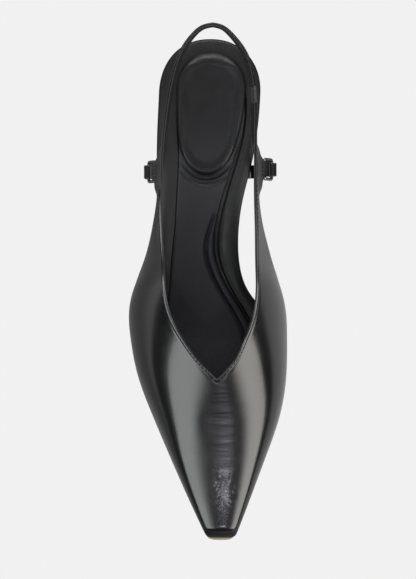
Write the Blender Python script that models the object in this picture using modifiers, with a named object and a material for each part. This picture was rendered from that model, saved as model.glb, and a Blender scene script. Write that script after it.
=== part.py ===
"""Slingback kitten heel, right foot. Sizes are in millimetres: x from lateral (-) to medial (+), s from the
back of the heel to the toe, z up from the floor. Meshes are placed in metres with the toe to -Y and +Z up."""

import math
from collections import namedtuple

import bmesh
import bpy
import numpy as np

MM = 0.001
GAP = 0.3

# Length and bottom line of the last
TIP = 251.8
TREAD_BACK = 153.0
TREAD_FRONT = 188.0
TOE_SPRING = 6.5
SEAT_HEIGHT = 42.0
SEAT_SLOPE = 0.03
BREAST = 52.0
BREAST_SLOPE = 0.30

# Sole and insole
SOLE_THICK = 3.0
WAIST_THICK = 2.4
SOLE_PROUD = 1.0
WAIST_INSET = 1.2
WAIST_EASE = 30.0
INSOLE_THICK = 3.6
INSOLE_BACK = 27.0
INSOLE_FRONT = 6.0
ARCH_S = 96.0
ARCH_RUN = 26.0
ARCH_FROM = 0.62
ARCH_EASE = 0.22
ARCH_RISE = 2.2
EDGE_ROUND = 1.0
EDGE_SHARE = 0.12
RECESS = 1.3
SOCK_THICK = 1.0
SOCK_BACK = 19.0
SOCK_FRONT = 12.0
PAD_EDGE = 0.7
PAD_RISE = 2.2
PAD_BACK = 12.0
PAD_FRONT = 16.0
OVERSHOOT = 10.0

# Heel
HEEL_X = -0.8
HEEL_HALF = 25.2
HEEL_INSET = 1.2
HEEL_LEAN = 1.2
LEAN_RUN = 8.0
SIDE_DRAW = 2.5
BACK_DRAW = 1.3
BACK_RUN = 26.0
TIP_THICK = 3.7
TIP_BACK = 7.0
TIP_FRONT = 19.5
TIP_HALF = 6.3
TIP_X = -0.6

# Upper
WALL = 1.6
TOE_CAP = 248.3
TOE_CORNER = 4.0
TOE_FRONT = 2.4
THROAT = 169.0
LIFT_LATERAL = 134.0
LIFT_MEDIAL = 150.0
BLEND_FRONT = 126.0
BLEND_BACK = 100.0
BELLY_S = 98.0
BELLY_RUN = 20.0
BELLY_OUT = 3.4
BELLY_UP = 1.8
ELASTIC_FRONT = 34.6
ELASTIC_BACK = 26.6
ELASTIC_THICK = 1.2

# Side tabs, loops and side straps
TAB_HALF = 3.7
FILLET_BACK = 5.0
FILLET_FRONT = 5.0
BOW_RUN = 10.0
FOLD_TURN = 205.0
WIRE = 0.8
LOOP_HALF = 4.8
LOOP_DROP = 8.2
LOOP_CORNER = 1.1
STRAP_HALF = 3.3
STRAP_THICK = 1.2
ROOT = 7.0
TONGUE = 7.5
KNEE_OUT = 1.6
KNEE_ROUND = 2.2
TWIST_RUN = 22.0

# Cross sections of the last: foot of the wall on each side, crest, how far each wall flares, how flat
# the top is beside the crest, and how steeply the walls rise
Section = namedtuple("Section", "s lat med crest_x crest_z flare_lat flare_med flat rise")
LAST = [
    Section(92, -27.8, 25.2, -0.8, 98.0, 0.04, 0.04, 0.55, 0.60),
    Section(112, -34.4, 31.3, 0.6, 81.5, 0.08, 0.08, 0.55, 0.60),
    Section(132, -39.6, 36.2, 1.8, 65.0, 0.20, 0.20, 0.55, 0.60),
    Section(150, -38.9, 37.2, 2.6, 54.0, 0.24, 0.24, 0.50, 0.63),
    Section(169, -35.7, 36.9, 3.1, 44.8, 0.20, 0.23, 0.54, 0.70),
    Section(190, -28.6, 33.0, 3.6, 36.0, 0.12, 0.24, 0.78, 0.70),
    Section(212, -19.8, 25.8, 4.1, 28.0, 0.04, 0.19, 1.02, 0.70),
    Section(232, -11.1, 18.9, 4.6, 22.5, 0.01, 0.16, 1.10, 0.70),
    Section(253, -1.3, 11.3, 5.0, 18.6, 0.01, 0.16, 1.10, 0.70),
]

# Outline of the insole seen from above
Width = namedtuple("Width", "s lat med")
OUTLINE = [
    Width(0, -25.2, 24.6),
    Width(27, -26.0, 24.7),
    Width(45, -26.9, 23.3),
    Width(62, -27.3, 20.4),
    Width(80, -27.4, 16.0),
    Width(99, -28.4, 13.9),
    Width(114, -31.4, 15.0),
    Width(126, -35.6, 19.5),
    Width(138, -38.9, 29.0),
    Width(148, -39.1, 35.0),
    Width(157, -38.1, 37.1),
    Width(169, -35.7, 36.9),
    Width(190, -28.6, 33.0),
    Width(212, -19.8, 25.8),
    Width(232, -11.1, 18.9),
    Width(253, -1.3, 11.3),
]
SOCK = [
    Width(14, -14.5, 14.5),
    Width(30, -16.0, 16.8),
    Width(46, -16.2, 15.9),
    Width(62, -16.3, 11.9),
    Width(78, -17.1, 7.0),
    Width(95, -18.2, 3.3),
    Width(104, -19.2, 2.8),
    Width(113, -20.0, 4.6),
    Width(130, -21.5, 13.0),
    Width(143, -23.2, 20.5),
    Width(162, -22.8, 24.0),
    Width(185, -18.5, 21.5),
    Width(205, -12.5, 17.0),
    Width(225, -6.0, 12.0),
]
PAD = [
    Width(6.8, -15.8, 16.2),
    Width(16, -16.6, 17.2),
    Width(25, -17.0, 17.3),
    Width(35, -17.0, 16.6),
    Width(48, -16.4, 13.8),
    Width(56, -15.4, 11.6),
    Width(67.5, -13.5, 9.0),
]

# Top and lower edges of the upper from the throat to the middle of the back strap
Edge = namedtuple("Edge", "s lat med z")
TOPLINE = [
    Edge(169, 3.1, 3.1, 44.8),
    Edge(160, -5.9, 11.3, 47.8),
    Edge(149, -13.9, 16.8, 51.0),
    Edge(137, -20.2, 21.2, 54.8),
    Edge(124, -23.0, 22.9, 59.2),
    Edge(109, -24.0, 23.0, 64.8),
    Edge(94, -24.6, 22.8, 70.3),
    Edge(80, -25.0, 22.4, 75.2),
    Edge(66, -24.9, 22.3, 79.5),
    Edge(50, -23.9, 22.5, 84.2),
    Edge(34, -21.9, 22.4, 88.5),
    Edge(20, -19.0, 20.9, 92.0),
    Edge(9, -14.8, 16.6, 94.6),
    Edge(2, -9.6, 10.9, 96.2),
    Edge(-2, -4.4, 5.8, 97.0),
    Edge(-3.2, 0.8, 0.8, 97.2),
]
LOWER = [
    Edge(169, -35.7, 36.3, 3.3),
    Edge(160, -37.7, 36.9, 3.3),
    Edge(149, -38.9, 36.4, 3.4),
    Edge(137, -39.2, 37.6, 8.0),
    Edge(124, -38.3, 35.3, 16.0),
    Edge(109, -33.4, 30.5, 35.0),
    Edge(94, -28.8, 26.0, 53.0),
    Edge(80, -26.4, 23.8, 64.8),
    Edge(66, -25.7, 23.3, 70.3),
    Edge(50, -23.4, 21.4, 75.0),
    Edge(34, -20.6, 20.8, 79.4),
    Edge(20, -17.6, 19.2, 83.0),
    Edge(9, -13.7, 15.3, 85.6),
    Edge(2, -8.9, 10.1, 87.2),
    Edge(-2, -4.1, 5.4, 88.0),
    Edge(-3.2, 0.8, 0.8, 88.2),
]

# Middle and end of each tab and the way its loop hangs: outward and downward parts of a unit step
Tab = namedtuple("Tab", "side s x z out drop")
TABS = [
    Tab("lat", 66.8, -29.6, 64.9, 0.40, 0.917),
    Tab("med", 65.6, 28.4, 64.6, 0.44, 0.898),
]


def natural(knots, values):
    """Natural cubic spline through values at increasing knots."""
    k = np.asarray(knots, float)
    v = np.asarray(values, float)
    h = np.diff(k)
    n = len(k)
    slope = np.diff(v) / h
    system = np.eye(n)
    pull = np.zeros(n)
    for i in range(1, n - 1):
        system[i, i - 1:i + 2] = h[i - 1], 2 * (h[i - 1] + h[i]), h[i]
        pull[i] = 6 * (slope[i] - slope[i - 1])
    bend = np.linalg.solve(system, pull)

    def at(t):
        t = np.asarray(t, float)
        i = np.clip(np.searchsorted(k, t) - 1, 0, n - 2)
        a = (k[i + 1] - t) / h[i]
        b = 1 - a
        curve = ((a**3 - a) * bend[i] + (b**3 - b) * bend[i + 1]) * h[i]**2 / 6
        return a * v[i] + b * v[i + 1] + curve

    return at


def by_station(table):
    """One spline along s for every other column of a table."""
    s = [row.s for row in table]
    names = table[0]._fields[1:]
    return {name: natural(s, [getattr(row, name) for row in table]) for name in names}


def by_chord(table):
    """One spline per column along the chord length of an edge, with the chord of each row."""
    points = np.array([[row.lat, row.s, row.z] for row in table])
    chord = np.concatenate([[0], np.cumsum(np.linalg.norm(np.diff(points, axis=0), axis=1))])
    curves = {name: natural(chord, [getattr(row, name) for row in table]) for name in table[0]._fields}
    return chord, curves


def smooth(t):
    """Step from 0 to 1 with flat ends."""
    t = np.clip(t, 0, 1)
    return t * t * (3 - 2 * t)


def bottom(s):
    """Height of the joint between outsole and insole: sloping seat, waist, flat tread, toe spring."""
    s = np.asarray(s, float)
    seat = SEAT_HEIGHT - SEAT_SLOPE * s - (BREAST_SLOPE - SEAT_SLOPE) / (2 * BREAST) * s**2
    start = SEAT_HEIGHT - (SEAT_SLOPE + BREAST_SLOPE) * BREAST / 2
    run = TREAD_BACK - BREAST
    t = np.clip((s - BREAST) / run, 0, 1)
    fall = smooth(t)
    waist = start + (SOLE_THICK - start) * fall - BREAST_SLOPE * run * t * (1 - t)**2
    toe = SOLE_THICK + TOE_SPRING * (np.maximum(s - TREAD_FRONT, 0) / (TIP - TREAD_FRONT))**2
    return np.where(s < BREAST, seat, np.where(s < TREAD_BACK, waist, toe))


def rounded(t, power):
    """Share of the width left at t on the way through a rounded end."""
    return (1 - np.clip(t, 0, 1)**power)**(1 / power)


def outline(curves, s, first, last, back_round, front_round, back_power=2.2, front_power=4.0):
    """Lateral and medial edges at s, drawn together to a point at the rounded ends."""
    lat = curves["lat"](s)
    med = curves["med"](s)
    half = (med - lat) / 2
    half = half * rounded((first + back_round - s) / back_round, back_power)
    half = half * rounded((s - last + front_round) / front_round, front_power)
    mid = (lat + med) / 2
    return mid - half, mid + half


def stations(first, last, count):
    """Stations along s, closer together at both ends."""
    angle = np.linspace(0, math.pi, count)
    return (first + last) / 2 - (last - first) / 2 * np.cos(angle)


def material(name, colour, roughness, metallic=0.0):
    """Principled material of one node."""
    mat = bpy.data.materials.new(name)
    mat.use_nodes = True
    shader = mat.node_tree.nodes["Principled BSDF"]
    shader.inputs["Base Color"].default_value = (*colour, 1)
    shader.inputs["Roughness"].default_value = roughness
    shader.inputs["Metallic"].default_value = metallic
    mat.diffuse_color = (*colour, 1)
    return mat


def add_object(name, points, faces, mat=None, group=None, closed=True):
    """Mesh object from points in millimetres (x, s, z); coincident points are welded."""
    points = np.asarray(points, float).reshape(-1, 3)
    mesh = bpy.data.meshes.new(name)
    mesh.from_pydata((points * [MM, -MM, MM]).tolist(), [], faces)
    work = bmesh.new()
    work.from_mesh(mesh)
    bmesh.ops.remove_doubles(work, verts=work.verts, dist=0.00001)
    bmesh.ops.dissolve_degenerate(work, edges=work.edges, dist=0.000005)
    if closed:
        bmesh.ops.recalc_face_normals(work, faces=work.faces)
    work.to_mesh(mesh)
    work.free()
    obj = bpy.data.objects.new(name, mesh)
    (group or PARTS).objects.link(obj)
    obj.parent = ROOT_EMPTY
    if mat:
        mesh.materials.append(mat)
    return obj


def grid_faces(rows, cols, first=0, flip=False, wrap=False):
    """Quads of a grid of points numbered row by row."""
    faces = []
    for i in range(rows - 1):
        for j in range(cols if wrap else cols - 1):
            k = (j + 1) % cols
            quad = [first + i * cols + j, first + i * cols + k,
                    first + (i + 1) * cols + k, first + (i + 1) * cols + j]
            faces.append(quad[::-1] if flip else quad)
    return faces


def slab(name, s, lat, med, under, over, across, mat=None, group=None):
    """Solid between two heights over an outline; under and over give z at (s, x, share across)."""
    share = np.asarray(across, float)
    x = lat[:, None] + (med - lat)[:, None] * share
    station = np.repeat(s[:, None], len(share), axis=1)
    low = np.stack([x, station, under(station, x, share)], axis=2)
    high = np.stack([x, station, over(station, x, share)], axis=2)
    rings = np.concatenate([low, high[:, ::-1]], axis=1)
    cols = rings.shape[1]
    faces = grid_faces(len(s), cols, wrap=True)
    if med[0] - lat[0] > 0.001:
        faces.append(list(range(cols)))
    if med[-1] - lat[-1] > 0.001:
        faces.append(list(range((len(s) - 1) * cols, len(s) * cols)))
    return add_object(name, rings, faces, mat, group)


def cut(obj, tool):
    """Takes a cutter out of a part."""
    tool.hide_render = True
    tool.display_type = "WIRE"
    mod = obj.modifiers.new("cut_" + tool.name, "BOOLEAN")
    mod.operation = "DIFFERENCE"
    mod.solver = "EXACT"
    mod.object = tool


def thicken(obj, thickness, offset):
    """Gives an open sheet its wall."""
    mod = obj.modifiers.new("wall", "SOLIDIFY")
    mod.thickness = thickness * MM
    mod.offset = offset
    mod.use_even_offset = True
    mod.use_rim = True


def rounded_path(corners, steps, closed=False):
    """Polyline through corners given as (point, radius), each corner turned along an arc."""
    path = []
    count = len(corners)
    for i, (point, radius) in enumerate(corners):
        point = np.asarray(point, float)
        if radius == 0 or (not closed and i in (0, count - 1)):
            path.append(point)
            continue
        back = np.asarray(corners[i - 1][0], float) - point
        ahead = np.asarray(corners[(i + 1) % count][0], float) - point
        back = back / np.linalg.norm(back)
        ahead = ahead / np.linalg.norm(ahead)
        half = math.acos(np.clip(back @ ahead, -1, 1)) / 2
        middle = (back + ahead) / np.linalg.norm(back + ahead)
        centre = point + middle * radius / math.sin(half)
        start = point + back * radius / math.tan(half) - centre
        end = point + ahead * radius / math.tan(half) - centre
        turn = math.pi - 2 * half
        for k in range(steps + 1):
            a = turn * k / steps
            path.append(centre + (math.sin(turn - a) * start + math.sin(a) * end) / math.sin(turn))
    return np.array(path)


def arch(side, s, z_foot, q):
    """Cross section of the last at s: cubic from the foot of the wall (q=0) to the crest (q=1)."""
    crest_x = LAST_AT["crest_x"](s)
    foot = LAST_AT[side](s) - crest_x
    crest_z = LAST_AT["crest_z"](s) - z_foot
    along = np.clip((s - TOE_CAP) / (TIP - TOE_CAP), 0, 1)
    foot = foot * rounded(along, TOE_CORNER)
    crest_z = crest_z * rounded(along, TOE_FRONT)
    p = 1 - q
    flare = 1 + LAST_AT["flare_" + side](s)
    across = p**3 + 3 * p * p * q * flare + 3 * p * q * q * LAST_AT["flat"](s)
    up = 3 * p * p * q * LAST_AT["rise"](s) + 3 * p * q * q + q**3
    return crest_x + foot * across, z_foot + crest_z * up


def tab_share(tab, s):
    """1 along the end of a tab, falling to 0 along a quarter circle through the fillet on either side."""
    fillet = FILLET_BACK if s < tab.s else FILLET_FRONT
    t = np.clip(1 - (abs(s - tab.s) - TAB_HALF) / fillet, 0, 1)
    return 1 - math.sqrt(1 - t * t)


def bow_share(tab, s):
    """1 over a tab, falling slowly to 0 beside it: how far the wall there bends out to the tab."""
    return float(smooth((TAB_HALF + BOW_RUN - abs(s - tab.s)) / BOW_RUN))


def upper_row(side, chord, cols):
    """Points of one row of the outer leather from the lower edge to the topline."""
    u = np.linspace(0, 1, cols)
    s = float(TOP_AT["s"](chord))
    top = np.array([TOP_AT[side](chord), s, TOP_AT["z"](chord)])
    low = np.array([LOW_AT[side](chord), s, LOW_AT["z"](chord)])
    tab = next(t for t in TABS if t.side == side)
    bow = bow_share(tab, s)
    end = low + bow * (np.array([tab.x, s, tab.z]) - low)
    bend = (low + top) / 2 + bow * (low - top) / 2
    if side == "lat":
        bend = bend + np.array([-BELLY_OUT, 0, BELLY_UP]) * math.exp(-((s - BELLY_S) / BELLY_RUN)**2)
    rise = 2 * (bend[2] - end[2])
    sag = end[2] - 2 * bend[2] + top[2]
    edge = 2 * (low[2] - end[2]) / (rise + math.sqrt(rise**2 + 4 * sag * (low[2] - end[2])))
    start = (1 - tab_share(tab, s)) * edge
    v = (start + (1 - start) * u)[:, None]
    ruled = (1 - v)**2 * end + 2 * v * (1 - v) * bend + v * v * top
    blend = float(smooth((BLEND_FRONT - s) / (BLEND_FRONT - BLEND_BACK)))
    if blend >= 1:
        return ruled
    foot = float(bottom(s)) + GAP
    q = np.linspace(0, 1, 400)
    x, z = arch(side, s, foot, q)
    lift = LIFT_LATERAL if side == "lat" else LIFT_MEDIAL
    q_low = np.interp(low[2], z, q) if s < lift else 0.0
    outer = np.argmax(np.abs(x))
    order = np.argsort(x[outer:])
    q_top = np.interp(top[0], x[outer:][order], q[outer:][order])
    x, z = arch(side, s, foot, q_low + u * (q_top - q_low))
    lasted = np.stack([x, np.full(cols, s), z], axis=1)
    return (1 - blend) * lasted + blend * ruled


def vamp_row(side, s, cols):
    """Points of one row ahead of the throat, from the foot of the wall to the crest."""
    x, z = arch(side, s, float(bottom(s)) + GAP, np.linspace(0, 1, cols))
    return np.stack([x, np.full(cols, s), z], axis=1)


def chord_at(s):
    """Chord along the edges at which the topline stands at s, ahead of the back loop."""
    dense = np.linspace(0, TOP_CHORD[-1], 2000)
    return float(np.interp(-s, -TOP_AT["s"](dense), dense))


def tab_fold(tab, rows, steps):
    """Leather turned round the loop's upper bar from the end of a tab: grid of points, bar centre."""
    chord = chord_at(tab.s)
    low = np.array([float(LOW_AT[tab.side](chord)), float(LOW_AT["z"](chord))])
    end = np.array([tab.x, tab.z])
    down = (end - low) / np.linalg.norm(end - low)
    inward = np.array([down[1], -down[0]]) * np.sign(-tab.x * down[1])
    radius = WALL + GAP + WIRE
    bar = end + inward * radius
    turn = np.linspace(0, math.radians(FOLD_TURN), steps)
    arc = bar - np.cos(turn)[:, None] * inward * radius + np.sin(turn)[:, None] * down * radius
    grid = np.array([[[x, s, z] for x, z in arc] for s in rows])
    return grid, bar


def wing_stations(tab):
    """Stations from the throat past a tab to the back of its fillet, closer together at its corners."""
    arc = np.sin(np.linspace(0, math.pi / 2, 7))
    front = tab.s + TAB_HALF
    back = tab.s - TAB_HALF
    return np.concatenate([np.linspace(THROAT, front + FILLET_FRONT, 17)[1:],
                           (front + FILLET_FRONT * (1 - arc))[1:],
                           np.linspace(front, back, 5)[1:],
                           (back - FILLET_BACK * (1 - arc[::-1]))[1:]])


def upper_sheet():
    """Outer face of the upper: vamp, wings, tabs and slingback strap, left open at the elastic."""
    cols = 10
    cap = TOE_CAP + (TIP - TOE_CAP) * (1 - (1 - np.linspace(0, 1, 7)[1:])**2.6)
    vamp = np.concatenate([cap[::-1], np.linspace(TOE_CAP, THROAT, 13)])
    points = []
    faces = []
    for tab in TABS:
        side = tab.side
        flip = side == "med"
        ahead = [vamp_row(side, s, cols) for s in vamp]
        to_tab = [chord_at(s) for s in wing_stations(tab)]
        if side == "lat":
            runs = [to_tab + list(np.linspace(to_tab[-1], TOP_CHORD[-1], 22)[1:])]
        else:
            gap_front = chord_at(ELASTIC_FRONT)
            gap_back = chord_at(ELASTIC_BACK)
            runs = [to_tab + list(np.linspace(to_tab[-1], gap_front, 6)[1:]),
                    list(np.linspace(gap_back, TOP_CHORD[-1], 15))]
        for i, run in enumerate(runs):
            rows = [upper_row(side, chord, cols) for chord in run]
            rows = ahead + rows if i == 0 else rows
            faces += grid_faces(len(rows), cols, sum(len(p) for p in points), flip)
            points.append(np.concatenate(rows))
        grid, bar = tab_fold(tab, np.linspace(tab.s + TAB_HALF, tab.s - TAB_HALF, 5), 12)
        faces += grid_faces(5, 12, sum(len(p) for p in points), not flip)
        points.append(grid.reshape(-1, 3))
    obj = add_object("upper", np.concatenate(points), faces, LEATHER, closed=False)
    thicken(obj, WALL, -1)
    return obj


def elastic():
    """Short elastic between the ends of the slingback strap on the medial side."""
    run = np.linspace(chord_at(ELASTIC_FRONT - GAP), chord_at(ELASTIC_BACK + GAP), 5)
    rows = np.array([upper_row("med", chord, 11)[1:-1:2] for chord in run])
    rows[:, :, 0] -= (WALL - ELASTIC_THICK) / 2
    obj = add_object("strap_elastic", rows, grid_faces(5, 5, flip=True), ELASTIC, closed=False)
    thicken(obj, ELASTIC_THICK, -1)


def outsole():
    """Thin sole from the toe to the heel breast, flush under the upper and slightly proud at the toe."""
    last = TIP + SOLE_PROUD
    s = np.concatenate([np.linspace(BREAST + GAP, TREAD_BACK, 15),
                        np.linspace(TREAD_BACK, TREAD_FRONT, 4)[1:],
                        TREAD_FRONT + (last - TREAD_FRONT) * (1 - (1 - np.linspace(0, 1, 16)[1:])**1.9)])
    lat, med = outline(OUTLINE_AT, s, -90, last, 1, last - TOE_CAP)
    waist = WAIST_INSET * smooth((TREAD_BACK - s) / WAIST_EASE)

    def under(station, x, share):
        thin = SOLE_THICK - (SOLE_THICK - WAIST_THICK) * smooth((TREAD_BACK - station) / WAIST_EASE)
        return bottom(station) - thin

    slab("outsole", s, lat + waist, med - waist, under, lambda station, x, share: bottom(station),
         [0, 0.35, 0.65, 1], SOLE)


def insole_top(station, x, share):
    """Top of the footbed: rounded rim, arch lifted along the medial border of the waist."""
    out = np.abs(2 * share - 1) * (1 + EDGE_SHARE) - EDGE_SHARE
    rim = EDGE_ROUND * (1 - rounded(out, 6.0))
    lift = ARCH_RISE * np.exp(-((station - ARCH_S) / ARCH_RUN)**2) * smooth((share - ARCH_FROM) / ARCH_EASE)
    return bottom(station) + GAP + INSOLE_THICK + lift - rim


def insole():
    """Footbed board with a recess for the sock and slots under it for the ends of the side straps."""
    s = stations(0, TIP - WALL - GAP - 1, 46)
    lat, med = outline(OUTLINE_AT, s, 0, s[-1], INSOLE_BACK, INSOLE_FRONT)
    inset = (WALL + 2 * GAP) * rounded((s - s[-1] + INSOLE_FRONT) / INSOLE_FRONT, TOE_CORNER)
    lat = lat + inset * smooth((s - LIFT_LATERAL + 16) / 16)
    med = med - inset * smooth((s - LIFT_MEDIAL + 18) / 14)
    share = [0, 0.03, 0.09, 0.25, 0.45, 0.62, 0.72, 0.82, 0.91, 0.97, 1]
    board = slab("insole", s, lat, med, lambda station, x, f: bottom(station) + GAP, insole_top, share,
                 INSOLE_LEATHER)
    s = stations(SOCK[0].s - GAP, SOCK[-1].s + GAP, 36)
    lat, med = outline(SOCK_AT, s, s[0], s[-1], SOCK_BACK, SOCK_FRONT)
    floor = GAP + INSOLE_THICK - RECESS
    cut(board, slab("sock_recess", s, lat - GAP, med + GAP, lambda station, x, f: bottom(station) + floor,
                    lambda station, x, f: bottom(station) + OVERSHOOT, [0, 1], group=CUTTERS))
    for tab in TABS:
        sign = np.sign(tab.x)
        s = np.linspace(tab.s - STRAP_HALF - GAP, tab.s + STRAP_HALF + GAP, 3)
        edge = OUTLINE_AT[tab.side](tab.s)
        ends = np.sort([edge - sign * (ROOT + GAP), edge + sign * OVERSHOOT])
        cut(board, slab("slot_" + tab.side, s, np.full(3, ends[0]), np.full(3, ends[1]),
                        lambda station, x, f: bottom(station) - OVERSHOOT,
                        lambda station, x, f: bottom(station) + 3 * GAP + STRAP_THICK, [0, 1], group=CUTTERS))


def sock():
    """Centre panel lying in the recess of the insole."""
    s = stations(SOCK[0].s, SOCK[-1].s, 36)
    lat, med = outline(SOCK_AT, s, s[0], s[-1], SOCK_BACK, SOCK_FRONT)
    floor = 2 * GAP + INSOLE_THICK - RECESS
    slab("sock", s, lat, med, lambda station, x, f: bottom(station) + floor,
         lambda station, x, f: bottom(station) + floor + SOCK_THICK, [0, 1], SOCK_LEATHER)


def heel_pad():
    """Egg-shaped cushion in the heel seat with a domed top."""
    s = stations(PAD[0].s, PAD[-1].s, 22)
    lat, med = outline(PAD_AT, s, s[0], s[-1], PAD_BACK, PAD_FRONT, 2.2, 2.2)
    base = 3 * GAP + INSOLE_THICK - RECESS + SOCK_THICK
    along = np.abs(2 * (s - s[0]) / (s[-1] - s[0]) - 1)

    def over(station, x, share):
        dome = (1 - np.abs(2 * share - 1)**4) * (1 - along**6)[:, None]
        return bottom(station) + base + PAD_EDGE + PAD_RISE * dome

    slab("heel_pad", s, lat, med, lambda station, x, f: bottom(station) + base, over,
         [0, 0.06, 0.16, 0.33, 0.5, 0.67, 0.84, 0.94, 1], PAD_LEATHER)


def d_outline(x_mid, half, back, front, count):
    """Rounded back, flat front: points of a closed outline."""
    angle = np.linspace(0, 2 * math.pi, count, endpoint=False)
    power = np.where(np.sin(angle) < 0, 2.2, 6.0)
    x = x_mid + half * np.sign(np.cos(angle)) * np.abs(np.cos(angle))**(2 / power)
    s = (back + front) / 2 + (front - back) / 2 * np.sign(np.sin(angle)) * np.abs(np.sin(angle))**(2 / power)
    return x, s


def heel():
    """Covered heel: cup under the seat drawn in quickly to a slim stem, and its flat top piece."""
    count = 28
    x_top, s_top = d_outline(HEEL_X, HEEL_HALF - HEEL_INSET, HEEL_INSET, BREAST, count)
    lean = np.where(s_top > BREAST - LEAN_RUN, (x_top - HEEL_X) / HEEL_HALF, 0)
    x_top = x_top - HEEL_LEAN * np.maximum(lean, 0)
    x_low, s_low = d_outline(TIP_X, TIP_HALF, TIP_BACK, TIP_FRONT, count)
    rings = []
    for h in np.linspace(0, 1, 13):
        draw = 1 - (1 - h)**SIDE_DRAW
        back = 1 - (1 - h)**BACK_DRAW
        part = back + (draw - back) * smooth((s_top - HEEL_INSET) / (BACK_RUN - HEEL_INSET))
        x = x_top + (x_low - x_top) * draw
        s = s_top + (s_low - s_top) * part
        z = (1 - h) * bottom(s_top) + h * (TIP_THICK + GAP)
        rings.append(np.stack([x, s, z], axis=1))
    faces = grid_faces(13, count, wrap=True)
    faces.append(list(range(count)))
    faces.append(list(range(12 * count, 13 * count)))
    add_object("heel", np.concatenate(rings), faces, HEEL_COVER)
    base = np.stack([x_low, s_low, np.zeros(count)], axis=1)
    faces = grid_faces(2, count, wrap=True) + [list(range(count)), list(range(count, 2 * count))]
    add_object("heel_tip", np.concatenate([base, base + [0, 0, TIP_THICK]]), faces, TIP_RUBBER)


def loop_and_strap(tab, name):
    """Rectangular wire loop hanging in a tab, and the side strap from the waist turned over its lower bar."""
    sign = np.sign(tab.x)
    bar = tab_fold(tab, [tab.s], 3)[1]
    low_bar = bar + LOOP_DROP * np.array([sign * tab.out, -tab.drop])
    corners = [((bar[0], tab.s + LOOP_HALF, bar[1]), LOOP_CORNER),
               ((bar[0], tab.s - LOOP_HALF, bar[1]), LOOP_CORNER),
               ((low_bar[0], tab.s - LOOP_HALF, low_bar[1]), LOOP_CORNER),
               ((low_bar[0], tab.s + LOOP_HALF, low_bar[1]), LOOP_CORNER)]
    path = rounded_path(corners, 4, closed=True)
    curve = bpy.data.curves.new("wire_path", "CURVE")
    curve.dimensions = "3D"
    curve.bevel_depth = WIRE * MM
    curve.bevel_resolution = 2
    spline = curve.splines.new("POLY")
    spline.points.add(len(path) - 1)
    for point, place in zip(spline.points, path * [MM, -MM, MM]):
        point.co = (*place, 1)
    spline.use_cyclic_u = True
    wire = bpy.data.objects.new("wire_path", curve)
    PARTS.objects.link(wire)
    bpy.context.view_layer.update()
    tube = bpy.data.meshes.new_from_object(wire.evaluated_get(bpy.context.evaluated_depsgraph_get()))
    bpy.data.objects.remove(wire)
    ring = bpy.data.objects.new("ring_" + name, tube)
    PARTS.objects.link(ring)
    ring.parent = ROOT_EMPTY
    tube.materials.clear()
    tube.materials.append(METAL)

    edge = float(OUTLINE_AT[tab.side](tab.s))
    root_z = float(bottom(tab.s)) + 2 * GAP + STRAP_THICK / 2
    turn = WIRE + GAP + STRAP_THICK / 2 + 0.1
    knee = np.array([edge + sign * KNEE_OUT, root_z])
    up = (low_bar - knee) / np.linalg.norm(low_bar - knee)
    outward = np.array([up[1], -up[0]]) * sign
    if outward[0] * sign < 0:
        outward = -outward
    corners = [((edge - sign * ROOT, root_z), 0), (knee, KNEE_ROUND),
               (low_bar - outward * turn + up * turn, turn * 0.9),
               (low_bar + outward * turn + up * turn, turn * 0.9),
               (low_bar + outward * turn - up * TONGUE, 0)]
    path = rounded_path(corners, 8)
    reach = np.concatenate([[0], np.cumsum(np.linalg.norm(np.diff(path, axis=0), axis=1))])
    slope = float(bottom(tab.s + 1) - bottom(tab.s - 1)) / 2
    shear = slope * (1 - smooth((reach - ROOT) / TWIST_RUN))
    grid = np.array([[[x, tab.s + w, z + k * w] for w in (-STRAP_HALF, STRAP_HALF)]
                     for (x, z), k in zip(path, shear)])
    strap = add_object("side_strap_" + name, grid, grid_faces(len(path), 2), LEATHER_STRAP, closed=False)
    thicken(strap, STRAP_THICK, 0)


for old in list(bpy.data.objects):
    bpy.data.objects.remove(old, do_unlink=True)

PARTS = bpy.data.collections.new("slingback_kitten_heel")
CUTTERS = bpy.data.collections.new("cutters")
bpy.context.scene.collection.children.link(PARTS)
bpy.context.scene.collection.children.link(CUTTERS)
ROOT_EMPTY = bpy.data.objects.new("shoe_frame", None)
PARTS.objects.link(ROOT_EMPTY)

LEATHER = material("upper_leather", (0.012, 0.012, 0.013), 0.28)
LEATHER_STRAP = material("strap_leather", (0.012, 0.012, 0.013), 0.32)
ELASTIC = material("elastic", (0.02, 0.02, 0.021), 0.8)
SOLE = material("outsole_leather", (0.36, 0.27, 0.19), 0.55)
INSOLE_LEATHER = material("insole_leather", (0.016, 0.016, 0.017), 0.42)
SOCK_LEATHER = material("sock_leather", (0.015, 0.015, 0.016), 0.48)
PAD_LEATHER = material("pad_leather", (0.014, 0.014, 0.015), 0.45)
HEEL_COVER = material("heel_cover", (0.012, 0.012, 0.013), 0.28)
TIP_RUBBER = material("tip_rubber", (0.02, 0.02, 0.02), 0.6)
METAL = material("loop_metal", (0.45, 0.45, 0.47), 0.22, 1.0)

LAST_AT = by_station(LAST)
OUTLINE_AT = by_station(OUTLINE)
SOCK_AT = by_station(SOCK)
PAD_AT = by_station(PAD)
TOP_CHORD, TOP_AT = by_chord(TOPLINE)
LOW_AT = {name: natural(TOP_CHORD, [getattr(row, name) for row in LOWER]) for name in Edge._fields}

outsole()
heel()
insole()
sock()
heel_pad()
upper_sheet()
elastic()
for tab_row, word in zip(TABS, ("lateral", "medial")):
    loop_and_strap(tab_row, word)

bpy.context.view_layer.update()
graph = bpy.context.evaluated_depsgraph_get()
solids = [obj.evaluated_get(graph) for obj in PARTS.objects if obj.type == "MESH"]
corners = np.array([corner[:] for obj in solids for corner in obj.bound_box])
middle = (corners.min(axis=0) + corners.max(axis=0)) / 2
ROOT_EMPTY.location = (-middle[0], -middle[1], -corners[:, 2].min())
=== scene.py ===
import math

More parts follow.
